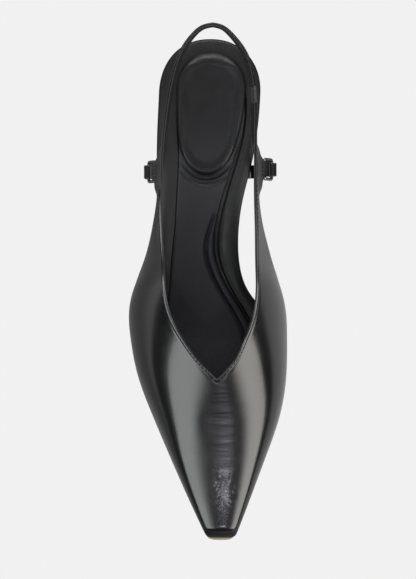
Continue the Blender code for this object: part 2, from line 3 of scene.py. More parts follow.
import bmesh
import bpy
import numpy as np
from mathutils import Matrix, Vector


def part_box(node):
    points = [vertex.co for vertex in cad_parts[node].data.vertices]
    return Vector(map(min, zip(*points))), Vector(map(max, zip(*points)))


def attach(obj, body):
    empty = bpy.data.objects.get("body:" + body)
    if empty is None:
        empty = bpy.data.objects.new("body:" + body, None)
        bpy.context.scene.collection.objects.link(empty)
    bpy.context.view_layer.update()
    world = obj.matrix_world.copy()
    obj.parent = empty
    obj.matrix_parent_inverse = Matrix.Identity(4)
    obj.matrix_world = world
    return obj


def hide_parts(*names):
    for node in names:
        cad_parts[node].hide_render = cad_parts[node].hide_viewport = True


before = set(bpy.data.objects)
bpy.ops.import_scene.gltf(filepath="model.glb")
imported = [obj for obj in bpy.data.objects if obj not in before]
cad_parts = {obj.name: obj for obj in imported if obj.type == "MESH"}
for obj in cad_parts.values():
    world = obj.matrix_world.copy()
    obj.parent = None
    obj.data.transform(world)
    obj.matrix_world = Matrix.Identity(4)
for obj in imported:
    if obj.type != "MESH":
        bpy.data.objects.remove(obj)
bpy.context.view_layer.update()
print("frame loaded:", len(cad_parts), "nodes")

# Sizes are in millimetres: x lateral (-) to medial (+), s heel to toe, z up from the floor
mm = 0.001
gap = 0.3  # clearance between neighbouring pieces, as in the solids
sides = {"lat": "lateral", "med": "medial"}
meshing = {"weld": 2e-6, "sliver": 1e-7, "sharp": 50.0}  # two lengths in metres, an angle in degrees

# The heel tip's box tells where the design frame lies in the row frame
tipPiece = {
    "x": -0.6, "half": 6.3, "back": 7.0, "front": 19.5, "thick": 3.7,
    "round": 0.5, "roundMiddle": 0.15, "topEase": 0.2,
}
tipLow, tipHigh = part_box("heel_tip")
shift = np.array([(tipLow.x + tipHigh.x) / 2 / mm - tipPiece["x"], tipHigh.y / mm + tipPiece["back"], 0])


# Natural cubic spline: the bends at the knots solve the three-term system and are zero at both ends
def naturalSpline(knots, values):
    k = np.asarray(knots, float)
    v = np.asarray(values, float)
    h = np.diff(k)
    slope = np.diff(v) / h
    system = np.diag(np.concatenate([[1], 2 * (h[:-1] + h[1:]), [1]]))
    system += np.diag(np.append(h[:-1], 0), -1) + np.diag(np.insert(h[1:], 0, 0), 1)
    bend = np.linalg.solve(system, np.concatenate([[0], 6 * np.diff(slope), [0]]))

    def at(t):
        t = np.asarray(t, float)
        i = np.clip(np.searchsorted(k, t) - 1, 0, len(k) - 2)
        a = (k[i + 1] - t) / h[i]
        b = 1 - a
        curve = ((a**3 - a) * bend[i] + (b**3 - b) * bend[i + 1]) * h[i]**2 / 6
        return a * v[i] + b * v[i + 1] + curve

    return at


# One spline for each named column of a table, over its first column or over the knots given
def splines(columns, rows, knots=None):
    table = np.array(rows, float)
    knots = table[:, 0] if knots is None else knots
    return {name: naturalSpline(knots, table[:, i]) for i, name in enumerate(columns.split())}


# Step from 0 to 1 with flat ends: 3t^2 - 2t^3
def smooth(t):
    t = np.clip(t, 0, 1)
    return t * t * (3 - 2 * t)


# Smooth step up from 0, which starts at a place and takes a length: span is (place, length)
def stepUp(s, span):
    return smooth((s - span[0]) / span[1])


# Smooth step down to 0, which ends at a place and takes a length: span is (place, length)
def stepDown(s, span):
    return smooth((span[0] - s) / span[1])


# Share of the width left on the way through a rounded end: (1 - t^p)^(1/p)
def roundEnd(t, power):
    return (1 - np.clip(t, 0, 1)**power)**(1 / power)


# Bell of height 1 around a centre, exp(-(t/width)^2)
def bell(t, width):
    return np.exp(-(t / width)**2)


# Vectors divided by their lengths
def unit(v):
    return v / np.maximum(np.linalg.norm(v, axis=-1, keepdims=True), 1e-9)


# Points from their three coordinates, each of which may be one number, a row or a whole grid
def pointsOf(x, s, z):
    return np.stack(np.broadcast_arrays(x, s, z), axis=-1)


# Distance gone along a line at each of its points, from 0
def runAlong(line):
    return np.insert(np.cumsum(np.linalg.norm(np.diff(line, axis=0), axis=1)), 0, 0)


# Last and bottom line shared by every piece
last = {
    "tip": 251.8, "treadBack": 153.0, "treadFront": 188.0, "toeSpring": 6.5,
    "seatHeight": 42.0, "seatSlope": 0.03, "breast": 52.0, "breastSlope": 0.30,
    "sole": 3.0, "waist": 2.4,
}
lastAt = splines("s lat med crestX crestZ flareLat flareMed flat rise", [
    (92, -27.8, 25.2, -0.8, 98.0, 0.04, 0.04, 0.55, 0.60),
    (112, -34.4, 31.3, 0.6, 81.5, 0.08, 0.08, 0.55, 0.60),
    (132, -39.6, 36.2, 1.8, 65.0, 0.20, 0.20, 0.55, 0.60),
    (150, -38.9, 37.2, 2.6, 54.0, 0.24, 0.24, 0.50, 0.63),
    (169, -35.7, 36.9, 3.1, 44.8, 0.20, 0.23, 0.54, 0.70),
    (190, -28.6, 33.0, 3.6, 36.0, 0.12, 0.24, 0.78, 0.70),
    (212, -19.8, 25.8, 4.1, 28.0, 0.04, 0.19, 1.02, 0.70),
    (232, -11.1, 18.9, 4.6, 22.5, 0.01, 0.16, 1.10, 0.70),
    (253, -1.3, 11.3, 5.0, 18.6, 0.01, 0.16, 1.10, 0.70),
])
outlineAt = splines("s lat med", [
    (0, -25.2, 24.6), (27, -26.0, 24.7), (45, -26.9, 23.3), (62, -27.3, 20.4), (80, -27.4, 16.0),
    (99, -28.4, 13.9), (114, -31.4, 15.0), (126, -35.6, 19.5), (138, -38.9, 29.0), (148, -39.1, 35.0),
    (157, -38.1, 37.1), (169, -35.7, 36.9), (190, -28.6, 33.0), (212, -19.8, 25.8), (232, -11.1, 18.9),
    (253, -1.3, 11.3),
])
backPower, frontPower = 2.2, 4.0  # how square an outline's rounded ends are, 2 being an ellipse


# Height of the joint between outsole and insole: parabola under the seat, cubic through the waist,
# flat tread, then a parabola up the toe spring
def bottom(s):
    s = np.asarray(s, float)
    breast = last["breast"]
    fallAway = last["breastSlope"] - last["seatSlope"]
    seat = last["seatHeight"] - last["seatSlope"] * s - fallAway / (2 * breast) * s**2
    start = last["seatHeight"] - (last["seatSlope"] + last["breastSlope"]) * breast / 2
    run = last["treadBack"] - breast
    t = np.clip((s - breast) / run, 0, 1)
    waist = start + (last["sole"] - start) * smooth(t) - last["breastSlope"] * run * t * (1 - t)**2
    spring = np.maximum(s - last["treadFront"], 0) / (last["tip"] - last["treadFront"])
    toe = last["sole"] + last["toeSpring"] * spring**2
    return np.where(s < breast, seat, np.where(s < last["treadBack"], waist, toe))


# Lateral and medial edges at s, drawn together to a point over the lengths of the rounded ends
def outline(curves, s, ends):
    lat = curves["lat"](s)
    med = curves["med"](s)
    half = (med - lat) / 2
    half = half * roundEnd((ends["first"] + ends["back"] - s) / ends["back"], backPower)
    half = half * roundEnd((s - ends["final"] + ends["front"]) / ends["front"],
                           ends.get("frontPower", frontPower))
    mid = (lat + med) / 2
    return mid - half, mid + half


# Closed line from the back along the lateral edge to the toe and home along the medial edge
def roundTrip(lat, med, s):
    return np.stack([np.concatenate([lat, med[-2:0:-1]]), np.concatenate([s, s[-2:0:-1]])], axis=1)


# Stations along s, closer together at both ends: half a cosine wave
def stations(first, final, count):
    return (first + final) / 2 - (final - first) / 2 * np.cos(np.linspace(0, math.pi, count))


# Stretches of points joined end to start, each point that two of them share kept once
def chain(*stretches):
    return np.concatenate([stretches[0]] + [stretch[1:] for stretch in stretches[1:]])


# Quads between rings numbered one after another, each ring closed; keep says which quads stay
def ringQuads(rows, cols, keep=None):
    i, j = np.meshgrid(np.arange(rows - 1), np.arange(cols), indexing="ij")
    k = (j + 1) % cols
    quads = np.stack([i * cols + j, i * cols + k, (i + 1) * cols + k, (i + 1) * cols + j], axis=-1)
    return (quads if keep is None else quads[keep]).reshape(-1, 4).tolist()


# Rings of points lofted into a closed body; an end that isn't drawn to a point gets a cap
def loft(rings, capStart=True, capEnd=True):
    rows, cols = rings.shape[:2]
    faces = ringQuads(rows, cols)
    if capStart:
        faces.append(list(range(cols)))
    if capEnd:
        faces.append(list(range((rows - 1) * cols, rows * cols)))
    return rings.reshape(-1, 3), faces


# New object in the scene that shows the given mesh, light or camera
def addObject(name, data):
    thing = bpy.data.objects.new(name, data)
    bpy.context.scene.collection.objects.link(thing)
    return thing


# Mesh object from blocks of (points, faces) in design millimetres, welded and with faces outward
def makePiece(name, blocks, material, node=None):
    points = []
    faces = []
    for blockPoints, blockFaces in blocks:
        first = sum(len(p) for p in points)
        points.append(blockPoints)
        faces += [[first + i for i in face] for face in blockFaces]
    rowPoints = (np.concatenate(points) * [1, -1, 1] + shift) * mm
    mesh = bpy.data.meshes.new(name)
    mesh.from_pydata(rowPoints.tolist(), [], faces)
    work = bmesh.new()
    work.from_mesh(mesh)
    bmesh.ops.remove_doubles(work, verts=work.verts, dist=meshing["weld"])
    bmesh.ops.dissolve_degenerate(work, edges=work.edges, dist=meshing["sliver"])
    bmesh.ops.delete(work, geom=[v for v in work.verts if not v.link_faces], context="VERTS")
    bmesh.ops.recalc_face_normals(work, faces=work.faces)
    loose = sum(not edge.is_manifold for edge in work.edges)
    work.to_mesh(mesh)
    work.free()
    mesh.shade_smooth()
    mesh.set_sharp_from_angle(angle=math.radians(meshing["sharp"]))
    mesh.materials.append(material)
    piece = addObject(name, mesh)
    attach(piece, "root")
    if node:
        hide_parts(node)
    print(f"{name}: {len(mesh.polygons)} faces, {loose} open edges")
    return piece


# sRGB hex to linear colour, by the standard's straight piece and power piece, with full alpha
def toLinear(hexColour):
    channels = np.array([int(hexColour[i:i + 2], 16) for i in (1, 3, 5)]) / 255
    linear = np.where(channels <= 0.04045, channels / 12.92, ((channels + 0.055) / 1.055)**2.4)
    return (*linear.tolist(), 1.0)


# Adds a node with its settings, its socket values and the links into it
def addNode(tree, kind, settings=None, values=None, links=None):
    node = tree.nodes.new(kind)
    for key, value in (settings or {}).items():
        setattr(node, key, value)
    for key, value in (values or {}).items():
        node.inputs[key].default_value = value
    for key, source in (links or {}).items():
        tree.links.new(source, node.inputs[key])
    return node


mixShare, mixFrom, mixTo, mixColour = 0, 6, 7, 2  # sockets of a colour mix, whose names are not unique
waveSpan = 0.314  # metres that one wave of a wave texture takes at scale 1


# New material with its Principled shader, its tree and Object coordinates in metres
def newMaterial(name, values):
    material = bpy.data.materials.new(name)
    material.use_nodes = True
    tree = material.node_tree
    shader = tree.nodes["Principled BSDF"]
    for key, value in values.items():
        shader.inputs[key].default_value = value
    where = addNode(tree, "ShaderNodeTexCoord").outputs["Object"]
    return material, tree, shader, where


# Leather dressed with a pigment coat: cells of grain and soft uneven patches under a gloss that is
# broken a little by both. Colours, roughness and its spread, grain size and depth; the grain is drawn
# coarser than real leather's so that it shows.
def leather(name, colours, gloss, grain, patchMm=9.0, coat=0.0, specular=0.5):
    material, tree, shader, where = newMaterial(name, {
        "IOR": 1.5, "Specular IOR Level": specular,
        "Coat Weight": coat, "Coat Roughness": 0.12, "Coat IOR": 1.5})
    cells = addNode(tree, "ShaderNodeTexVoronoi", {"feature": "SMOOTH_F1"},
                    {"Scale": 1 / (grain[0] * mm), "Smoothness": 0.35}, {"Vector": where})
    patch = addNode(tree, "ShaderNodeTexNoise", None,
                    {"Scale": 1 / (patchMm * mm), "Detail": 4.0, "Roughness": 0.6}, {"Vector": where})
    tint = addNode(tree, "ShaderNodeMix", {"data_type": "RGBA"},
                   {mixFrom: toLinear(colours[0]), mixTo: toLinear(colours[1])},
                   {mixShare: patch.outputs["Fac"]})
    tree.links.new(tint.outputs[mixColour], shader.inputs["Base Color"])
    polish = addNode(tree, "ShaderNodeMapRange", None,
                     {"From Min": 0.3, "From Max": 0.7,
                      "To Min": gloss[0] - gloss[1], "To Max": gloss[0] + gloss[1]},
                     {"Value": patch.outputs["Fac"]})
    tree.links.new(polish.outputs["Result"], shader.inputs["Roughness"])
    pores = addNode(tree, "ShaderNodeBump", None, {"Strength": 1.0, "Distance": grain[1] * mm},
                    {"Height": cells.outputs["Distance"]})
    tree.links.new(pores.outputs["Normal"], shader.inputs["Normal"])
    return material, tree, shader, where, pores


# Share of a mark that fades from 1 at a place on the shoe to 0 at its reach, both (x, s) in mm
def fadeAround(tree, where, place, reach):
    scale = np.array([1 / reach[0], 1 / reach[1], 0]) / mm
    centre = (np.array([place[0], -place[1], 0]) + shift) * mm
    spot = addNode(tree, "ShaderNodeMapping", None,
                   {"Scale": scale.tolist(), "Location": (-scale * centre).tolist()}, {"Vector": where})
    away = addNode(tree, "ShaderNodeVectorMath", {"operation": "LENGTH"}, None, {0: spot.outputs["Vector"]})
    fade = addNode(tree, "ShaderNodeMapRange", {"interpolation_type": "SMOOTHSTEP"},
                   {"To Min": 1.0, "To Max": 0.0}, {"Value": away.outputs["Value"]})
    return fade.outputs["Result"]


# Size and depth in mm, stretch of the pattern, where it lies and how far it reaches: the fine lines
# across the crest where the leather was pulled over the last, and the crinkle in the middle of the toe
calfMarks = (
    {"size": 3.0, "depth": 0.26, "stretch": (0.12, 1.0, 0.25), "at": (6.0, 195.0), "reach": (11.0, 48.0)},
    {"size": 3.0, "depth": 0.56, "stretch": (1.0, 1.0, 1.0), "at": (6.6, 226.0), "reach": (9.0, 14.0)},
)


# Black box calf, glazed: deep black with a smooth wet-looking gloss, broken by the marks above, each
# a noise around zero times its fade, added to the bump below it
def boxCalf():
    material, tree, shader, where, normal = leather(
        "glazed_black_box_calf", ("#0A0A0B", "#121213"), (0.20, 0.02), (0.9, 0.010), coat=0.25)
    for mark in calfMarks:
        pulled = addNode(tree, "ShaderNodeMapping", None, {"Scale": mark["stretch"]}, {"Vector": where})
        noise = addNode(tree, "ShaderNodeTexNoise", None,
                        {"Scale": 1 / (mark["size"] * mm), "Detail": 1.0, "Roughness": 0.4},
                        {"Vector": pulled.outputs["Vector"]})
        wave = addNode(tree, "ShaderNodeMath", {"operation": "SUBTRACT"}, {1: 0.5},
                       {0: noise.outputs["Fac"]})
        height = addNode(tree, "ShaderNodeMath", {"operation": "MULTIPLY"}, None,
                         {0: wave.outputs["Value"], 1: fadeAround(tree, where, mark["at"], mark["reach"])})
        normal = addNode(tree, "ShaderNodeBump", None, {"Strength": 1.0, "Distance": mark["depth"] * mm},
                         {"Height": height.outputs["Value"], "Normal": normal.outputs["Normal"]})
    tree.links.new(normal.outputs["Normal"], shader.inputs["Normal"])
    return material


# Lining goatskin, satin: softer black with open grain that spreads the light
def liningLeather():
    return leather("satin_lining_goatskin", ("#1A1A1B", "#232324"), (0.46, 0.05), (1.1, 0.03))[0]


# Footbed leather, lightly buffed: dull black with a faint grain
def bedLeather(name, colours, roughness):
    return leather(name, colours, (roughness, 0.06), (1.2, 0.035), patchMm=5.0, specular=0.4)[0]


# Vegetable-tanned sole leather, burnished: pale tan, a little uneven, with a low polish
def soleLeather():
    return leather("burnished_tan_sole_leather", ("#B29A80", "#D2BCA2"), (0.52, 0.08), (1.4, 0.03),
                   coat=0.1)[0]


# Nickel plate, polished: dark mirror with hairline scratches
def nickelPlate():
    material, tree, shader, where = newMaterial("polished_dark_nickel_plate", {
        "Base Color": toLinear("#8C8C90"), "Metallic": 1.0})
    scratch = addNode(tree, "ShaderNodeTexNoise", None, {"Scale": 1 / (0.8 * mm), "Detail": 6.0},
                      {"Vector": where})
    polish = addNode(tree, "ShaderNodeMapRange", None,
                     {"From Min": 0.35, "From Max": 0.65, "To Min": 0.16, "To Max": 0.30},
                     {"Value": scratch.outputs["Fac"]})
    tree.links.new(polish.outputs["Result"], shader.inputs["Roughness"])
    return material


# Plain black goods whose pattern sets both colour and relief, a mix of two colours and a bump of its
# height; the pattern is a node of the given kind at the given settings
def patterned(name, roughness, colours, kind, settings, values, relief=None):
    material, tree, shader, where = newMaterial(name, {"Roughness": roughness})
    pattern = addNode(tree, kind, settings, values, {"Vector": where}).outputs["Fac"]
    tint = addNode(tree, "ShaderNodeMix", {"data_type": "RGBA"},
                   {mixFrom: toLinear(colours[0]), mixTo: toLinear(colours[1])}, {mixShare: pattern})
    tree.links.new(tint.outputs[mixColour], shader.inputs["Base Color"])
    if relief:
        bump = addNode(tree, "ShaderNodeBump", None, {"Strength": relief[0], "Distance": relief[1] * mm},
                       {"Height": pattern})
        tree.links.new(bump.outputs["Normal"], shader.inputs["Normal"])
    return material


# Covered elastic, woven: matt ribs across the strap, each about 0.9 mm
def wovenElastic():
    return patterned("woven_black_elastic", 0.75, ("#2C2C2D", "#484849"), "ShaderNodeTexWave",
                     {"bands_direction": "Y"},
                     {"Scale": waveSpan / (0.9 * mm), "Distortion": 0.4, "Detail": 1.0}, (0.8, 0.15))


# Heel-tip rubber, moulded: dull grey-black with a fine matt grain
def mouldedRubber():
    return patterned("moulded_black_rubber", 0.62, ("#151515", "#242424"), "ShaderNodeTexNoise", None,
                     {"Scale": 1 / (0.7 * mm), "Detail": 5.0}, (0.5, 0.05))


# Bonded polyester thread, twisted: slight sheen with fine diagonal plies
def sewingThread():
    return patterned("bonded_black_thread", 0.42, ("#080809", "#1A1A1B"), "ShaderNodeTexWave",
                     {"bands_direction": "DIAGONAL"}, {"Scale": waveSpan / (0.35 * mm)})


calf = boxCalf()
lining = liningLeather()
boardLeather = bedLeather("buffed_footbed_calf", ("#0C0C0D", "#141415"), 0.44)
sockLeather = bedLeather("buffed_sock_calf", ("#212124", "#2E2E32"), 0.48)
padLeather = bedLeather("soft_pad_sheepskin", ("#0E0E10", "#17171A"), 0.42)
tan = soleLeather()
nickel = nickelPlate()
elasticWeave = wovenElastic()
rubber = mouldedRubber()
thread = sewingThread()
print("materials ready")


# Upper: vamp, wings, tabs and slingback strap in a leather layer and a lining layer
upper = {
    "wall": 1.6, "toeCap": 248.3, "toeFall": 245.5, "toeFallPower": 1.7, "throat": 169.0,
    "lift": {"lat": 134.0, "med": 150.0},  # where the lower edge leaves the sole
    "blendFront": 126.0, "blendBack": 100.0, "blendHold": 4.0,  # where the last's section becomes a strip
    "widest": 0.18,  # share of the way up a section at which it leans out most
    "elasticFront": 34.6, "elasticBack": 26.6,
    "foldedEdge": 1.7, "foldSwell": 0.16, "foldCrease": 0.10, "creaseFrom": 0.3, "creaseWidth": 0.35,
    "strapRoll": 0.5, "strapRollWidth": 1.3, "throatTurn": 2.5, "sinkReach": 6.0,
    "belly": {"s": 98.0, "width": 20.0, "lat": (-3.4, 0, 1.8), "med": (0, 0, 0)},
    # how far the top edge is rolled over at a station, from 0 (folded and pressed) to 1
    "rolled": {"lat": ((0, 0.5), (30, 1.0), (100, 1.0), (135, 0.8), (165, 0)),
               "med": ((40, 0.5), (80, 1.0), (110, 0))},
}
layers = {  # depths of a layer's two faces below the wall's outer face, and how far its rim is set back
    "leather": {"outer": 0.0, "inner": 0.8, "inset": 0.0, "swollen": True},
    "lining": {"outer": 0.86, "inner": 1.6, "inset": 0.3, "swollen": False},
}
tabs = {
    "half": 3.7, "filletBack": 5.0, "filletFront": 5.0, "bow": 10.0, "turn": 205.0, "rows": 13,
    "margin": 1.0, "nudge": 0.02,
    "lat": {"s": 66.8, "x": -29.6, "z": 64.9, "out": 0.40, "drop": 0.917},
    "med": {"s": 65.6, "x": 28.4, "z": 64.6, "out": 0.44, "drop": 0.898},
}
loop = {"wire": 0.8, "half": 4.8, "drop": 8.2, "corner": 1.1, "cornerSteps": 10, "around": 16}
topRows = np.array([
    (169, 3.1, 3.1, 44.8), (160, -5.9, 11.3, 47.8), (149, -13.9, 16.8, 51.0), (137, -20.2, 21.2, 54.8),
    (124, -23.0, 22.9, 59.2), (109, -24.0, 23.0, 64.8), (94, -24.6, 22.8, 70.3), (80, -25.0, 22.4, 75.2),
    (66, -24.9, 22.3, 79.5), (50, -23.9, 22.5, 84.2), (34, -21.9, 22.4, 88.5), (20, -19.0, 20.9, 92.0),
    (9, -14.8, 16.6, 94.6), (2, -9.6, 10.9, 96.2), (-2, -4.4, 5.8, 97.0), (-3.2, 0.8, 0.8, 97.2),
])
lowRows = [
    (169, -35.7, 36.3, 3.3), (160, -37.7, 36.9, 3.3), (149, -38.9, 36.4, 3.4), (137, -39.2, 37.6, 8.0),
    (124, -38.3, 35.3, 16.0), (109, -33.4, 30.5, 35.0), (94, -28.8, 26.0, 53.0), (80, -26.4, 23.8, 64.8),
    (66, -25.7, 23.3, 70.3), (50, -23.4, 21.4, 75.0), (34, -20.6, 20.8, 79.4), (20, -17.6, 19.2, 83.0),
    (9, -13.7, 15.3, 85.6), (2, -8.9, 10.1, 87.2), (-2, -4.1, 5.4, 88.0), (-3.2, 0.8, 0.8, 88.2),
]
topChord = runAlong(topRows[:, [1, 0, 3]])
topAt = splines("s lat med z", topRows, topChord)
lowAt = splines("s lat med z", lowRows, topChord)
wallColumns = {  # distances from both edges in mm, points between them; shorter rows squeeze them
    "low": (0, 0.35, 0.8, 1.5), "top": (0, 0.2, 0.4, 0.65, 0.95, 1.3, 1.6, 1.9, 2.3, 2.9, 3.7),
    "middle": 30, "shortRow": 14.0,
}
wallRowCount = {  # rows on each stretch from the toe to the back, points round the rims and fold, samples
    "cap": 16, "vamp": 78, "throatFront": 9, "throatBack": 13, "wing": 88, "fillet": 15, "strap": 22,
    "elastic": 10, "back": 52, "rim": 7, "lowRim": 5, "fold": 26, "measure": 41, "chordSamples": 3000,
}
closeRows = {"ahead": 3.0, "behind": 4.0}  # lengths on both sides of the throat with rows close together
creases = {  # laid into the vamp: one hollow beside the crest, flex lines over the toe joint
    "hollow": {"depth": 0.32, "x": -3.4, "fall": 5.0, "width": 16.0, "s": 191.0, "length": 10.0},
    "flex": {"depth": 0.05, "width": 14.0, "length": 2.4, "at": ((8, 181), (-4, 188), (6, 206))},
    "rows": 40,
}


# Chord along the topline where it stands at s, ahead of the back of the strap
def chordAt(s):
    dense = np.linspace(0, topChord[-1], wallRowCount["chordSamples"])
    return np.interp(-np.asarray(s, float), -topAt["s"](dense), dense)


# Cross section of the last at s: cubic curve from the foot of the wall (q=0) to the crest (q=1)
def arch(side, s, foot, q):
    crestX = lastAt["crestX"](s)
    plan, front = ((s - start) / (last["tip"] - start) for start in (upper["toeCap"], upper["toeFall"]))
    reach = (lastAt[side](s) - crestX) * roundEnd(plan, frontPower)
    height = (lastAt["crestZ"](s) - foot) * roundEnd(front, upper["toeFallPower"])
    p = 1 - q
    flare = 1 + lastAt["flare" + side.title()](s)
    across = p**3 + 3 * p * p * q * flare + 3 * p * q * q * lastAt["flat"](s)
    up = 3 * p * p * q * lastAt["rise"](s) + 3 * p * q * q + q**3
    return crestX + reach * across, foot + height * up


# Value of q in a bracket at which a rising function reaches its target, by halving on whole arrays
def halve(rising, target, low, high, rounds=36):
    low = np.full_like(target, low)
    high = np.full_like(target, high)
    for _ in range(rounds):
        middle = (low + high) / 2
        below = rising(middle) < target
        low = np.where(below, middle, low)
        high = np.where(below, high, middle)
    return (low + high) / 2


# 1 along the end of a tab, falling to 0 along a quarter circle through the fillet on either side
def tabShare(side, s):
    fillet = np.where(s < tabs[side]["s"], tabs["filletBack"], tabs["filletFront"])
    t = np.clip(1 - (np.abs(s - tabs[side]["s"]) - tabs["half"]) / fillet, 0, 1)
    return 1 - np.sqrt(1 - t * t)


# Edges of the ruled strip behind the throat: lower edge, top edge, and the end and middle of the
# quadratic curve between them, which bows out to the end of the tab beside it
def stripEdges(side, chords):
    tab = tabs[side]
    belly = upper["belly"]
    s = topAt["s"](chords)
    top = pointsOf(topAt[side](chords), s, topAt["z"](chords))
    low = pointsOf(lowAt[side](chords), s, lowAt["z"](chords))
    bow = stepDown(np.abs(s - tab["s"]), (tabs["half"] + tabs["bow"], tabs["bow"]))[:, None]
    end = low + bow * (pointsOf(tab["x"], s, tab["z"]) - low)
    bend = (low + top) / 2 + bow * (low - top) / 2
    bend = bend + bell(s - belly["s"], belly["width"])[:, None] * np.array(belly[side])
    return low, top, end, bend


# Share of that curve left out below the lower edge: all of it away from a tab, none along its end
def stripStart(side, chords):
    low, top, end, bend = (edge[:, 2] for edge in stripEdges(side, chords))
    rise = 2 * (bend - end)
    sag = end - 2 * bend + top
    edge = 2 * (low - end) / (rise + np.sqrt(rise**2 + 4 * sag * (low - end)))
    return (1 - tabShare(side, topAt["s"](chords))) * edge


# Outer face of the upper on one side as rows of points from the lower edge (u=0) to the top (u=1).
# Ahead of the throat a row is the last's section; behind it a row is that section cut at the
# topline, blended into a ruled strip between the two edges with the tab pulled out of it.
def wallRows(side, vampS, chords, u):
    s = vampS[:, None]
    x, z = arch(side, s, bottom(s) + gap, u[:len(vampS)])
    vamp = pointsOf(x, s, z)
    u = u[len(vampS):]
    s = topAt["s"](chords)[:, None]
    low, top, end, bend = (edge[:, None] for edge in stripEdges(side, chords))
    v = u[..., None]
    ruled = (1 - v)**2 * end + 2 * v * (1 - v) * bend + v * v * top
    mix = stepDown(s, (upper["blendFront"], upper["blendFront"] - upper["blendBack"]))[..., None]
    station = np.maximum(s, upper["blendBack"] - upper["blendHold"])
    foot = bottom(station) + gap
    qLow = halve(lambda q: arch(side, station, foot, q)[1], low[..., 2], 0.0, 1.0)
    qLow = np.where(s < upper["lift"][side], qLow, 0)
    crestX = lastAt["crestX"](station)
    reach = -np.abs(top[..., 0] - crestX)
    qTop = halve(lambda q: -np.abs(arch(side, station, foot, q)[0] - crestX), reach, upper["widest"], 1.0)
    x, z = arch(side, station, foot, qLow + u * (qTop - qLow))
    return np.concatenate([vamp, (1 - mix) * pointsOf(x, s, z) + mix * ruled])


# Shares u along each row: columns a set distance from both edges, the rest spread evenly between
def columnShares(length):
    length = np.maximum(length, 1e-4)[:, None]
    squeeze = np.minimum(1, length / wallColumns["shortRow"])
    low = np.array(wallColumns["low"]) * squeeze
    top = length - np.array(wallColumns["top"])[::-1] * squeeze
    t = np.linspace(0, 1, wallColumns["middle"] + 2)[1:-1]
    between = low[:, -1:] + (top[:, :1] - low[:, -1:]) * t
    return np.concatenate([low, between, top], axis=1) / length


# Height of the creases: a low ridge that falls into a hollow beside the crest on the lateral side, as
# tanh times two bells, and faint flex lines, as bells
def creaseHeight(x, s):
    hollow, flex = creases["hollow"], creases["flex"]
    fromRidge = x - hollow["x"]
    height = -hollow["depth"] * np.tanh(fromRidge / hollow["fall"]) * bell(fromRidge, hollow["width"])
    height = height * bell(s - hollow["s"], hollow["length"])
    return height + sum(-flex["depth"] * bell(s - lineS, flex["length"]) * bell(x - lineX, flex["width"])
                        for lineX, lineS in flex["at"])


# Rows along the upper: toe cap, vamp, wings, tab and strap, with the edges of tab and elastic on rows
def rowPlan(side):
    count = wallRowCount
    throat, toeCap = upper["throat"], upper["toeCap"]
    front, back = (tabs[side]["s"] + k * tabs["half"] for k in (1, -1))
    arc = np.sin(np.linspace(0, math.pi / 2, count["fillet"]))
    cap = toeCap + (last["tip"] - toeCap) * (1 - (1 - np.linspace(0, 1, count["cap"]))**2)
    vamp = chain(cap[::-1],
                 np.linspace(toeCap, throat + closeRows["ahead"], count["vamp"]),
                 np.linspace(throat + closeRows["ahead"], throat, count["throatFront"]))[:-1]
    wing = chain(np.linspace(throat, throat - closeRows["behind"], count["throatBack"]),
                 np.linspace(throat - closeRows["behind"], front + tabs["filletFront"], count["wing"]),
                 front + tabs["filletFront"] * (1 - arc),
                 np.linspace(front, back, tabs["rows"]),
                 back - tabs["filletBack"] * (1 - arc[::-1]),
                 np.linspace(back - tabs["filletBack"], upper["elasticFront"], count["strap"]),
                 np.linspace(upper["elasticFront"], upper["elasticBack"], count["elastic"]))
    chords = chordAt(wing)
    chords[0] = 0
    chords = chain(chords, np.linspace(chords[-1], topChord[-1], count["back"]))
    tabRow, gapRow = (len(vamp) + int(np.argmin(np.abs(wing - s))) for s in (front, upper["elasticFront"]))
    return {"vampS": vamp, "chords": chords, "throat": len(vamp),
            "tab": slice(tabRow, tabRow + tabs["rows"]), "gap": (gapRow, len(vamp) + len(wing) - 1)}


# Outer face of one side, with the way up each row and the outward normals, up x ahead
def wallFace(side):
    grid = rowPlan(side)
    vampS, chords, throat = grid["vampS"], grid["chords"], grid["throat"]
    station = np.append(vampS, topAt["s"](chords))
    start = np.append(np.zeros(throat), stripStart(side, chords))[:, None]
    even = np.linspace(0, 1, wallRowCount["measure"])
    coarse = wallRows(side, vampS, chords, start + (1 - start) * even)
    length = np.linalg.norm(np.diff(coarse, axis=1), axis=2).sum(axis=1)
    u = columnShares(length)
    v = start + (1 - start) * u
    face = wallRows(side, vampS, chords, v)
    up = unit(np.gradient(face, axis=1))
    # beside a tab rows are cut short, so the step along the shoe is taken at one height of the wall
    ahead = np.gradient(face, axis=0)
    beside = np.abs(station - tabs[side]["s"]) < tabs["half"] + tabs["filletFront"] + tabs["margin"]
    ahead[beside] = (wallRows(side, vampS, chords + tabs["nudge"], v) - face)[beside]
    normal = unit(np.cross(up, ahead) * (-1 if side == "lat" else 1))
    # both sides meet along the crest and at the back, and the toe's point faces ahead
    normal[:throat + 1, -1, 0] = 0
    normal[-1, :, 0] = 0
    normal[0] = (0, 1, 0)
    normal[grid["tab"], 0] = -tabFrame(side)[2]
    up[-1, :, 0] = 0
    grid.update(face=face, normal=unit(normal), up=up, station=station, fromTop=(1 - u) * length[:, None],
                share=tabShare(side, station))
    return grid


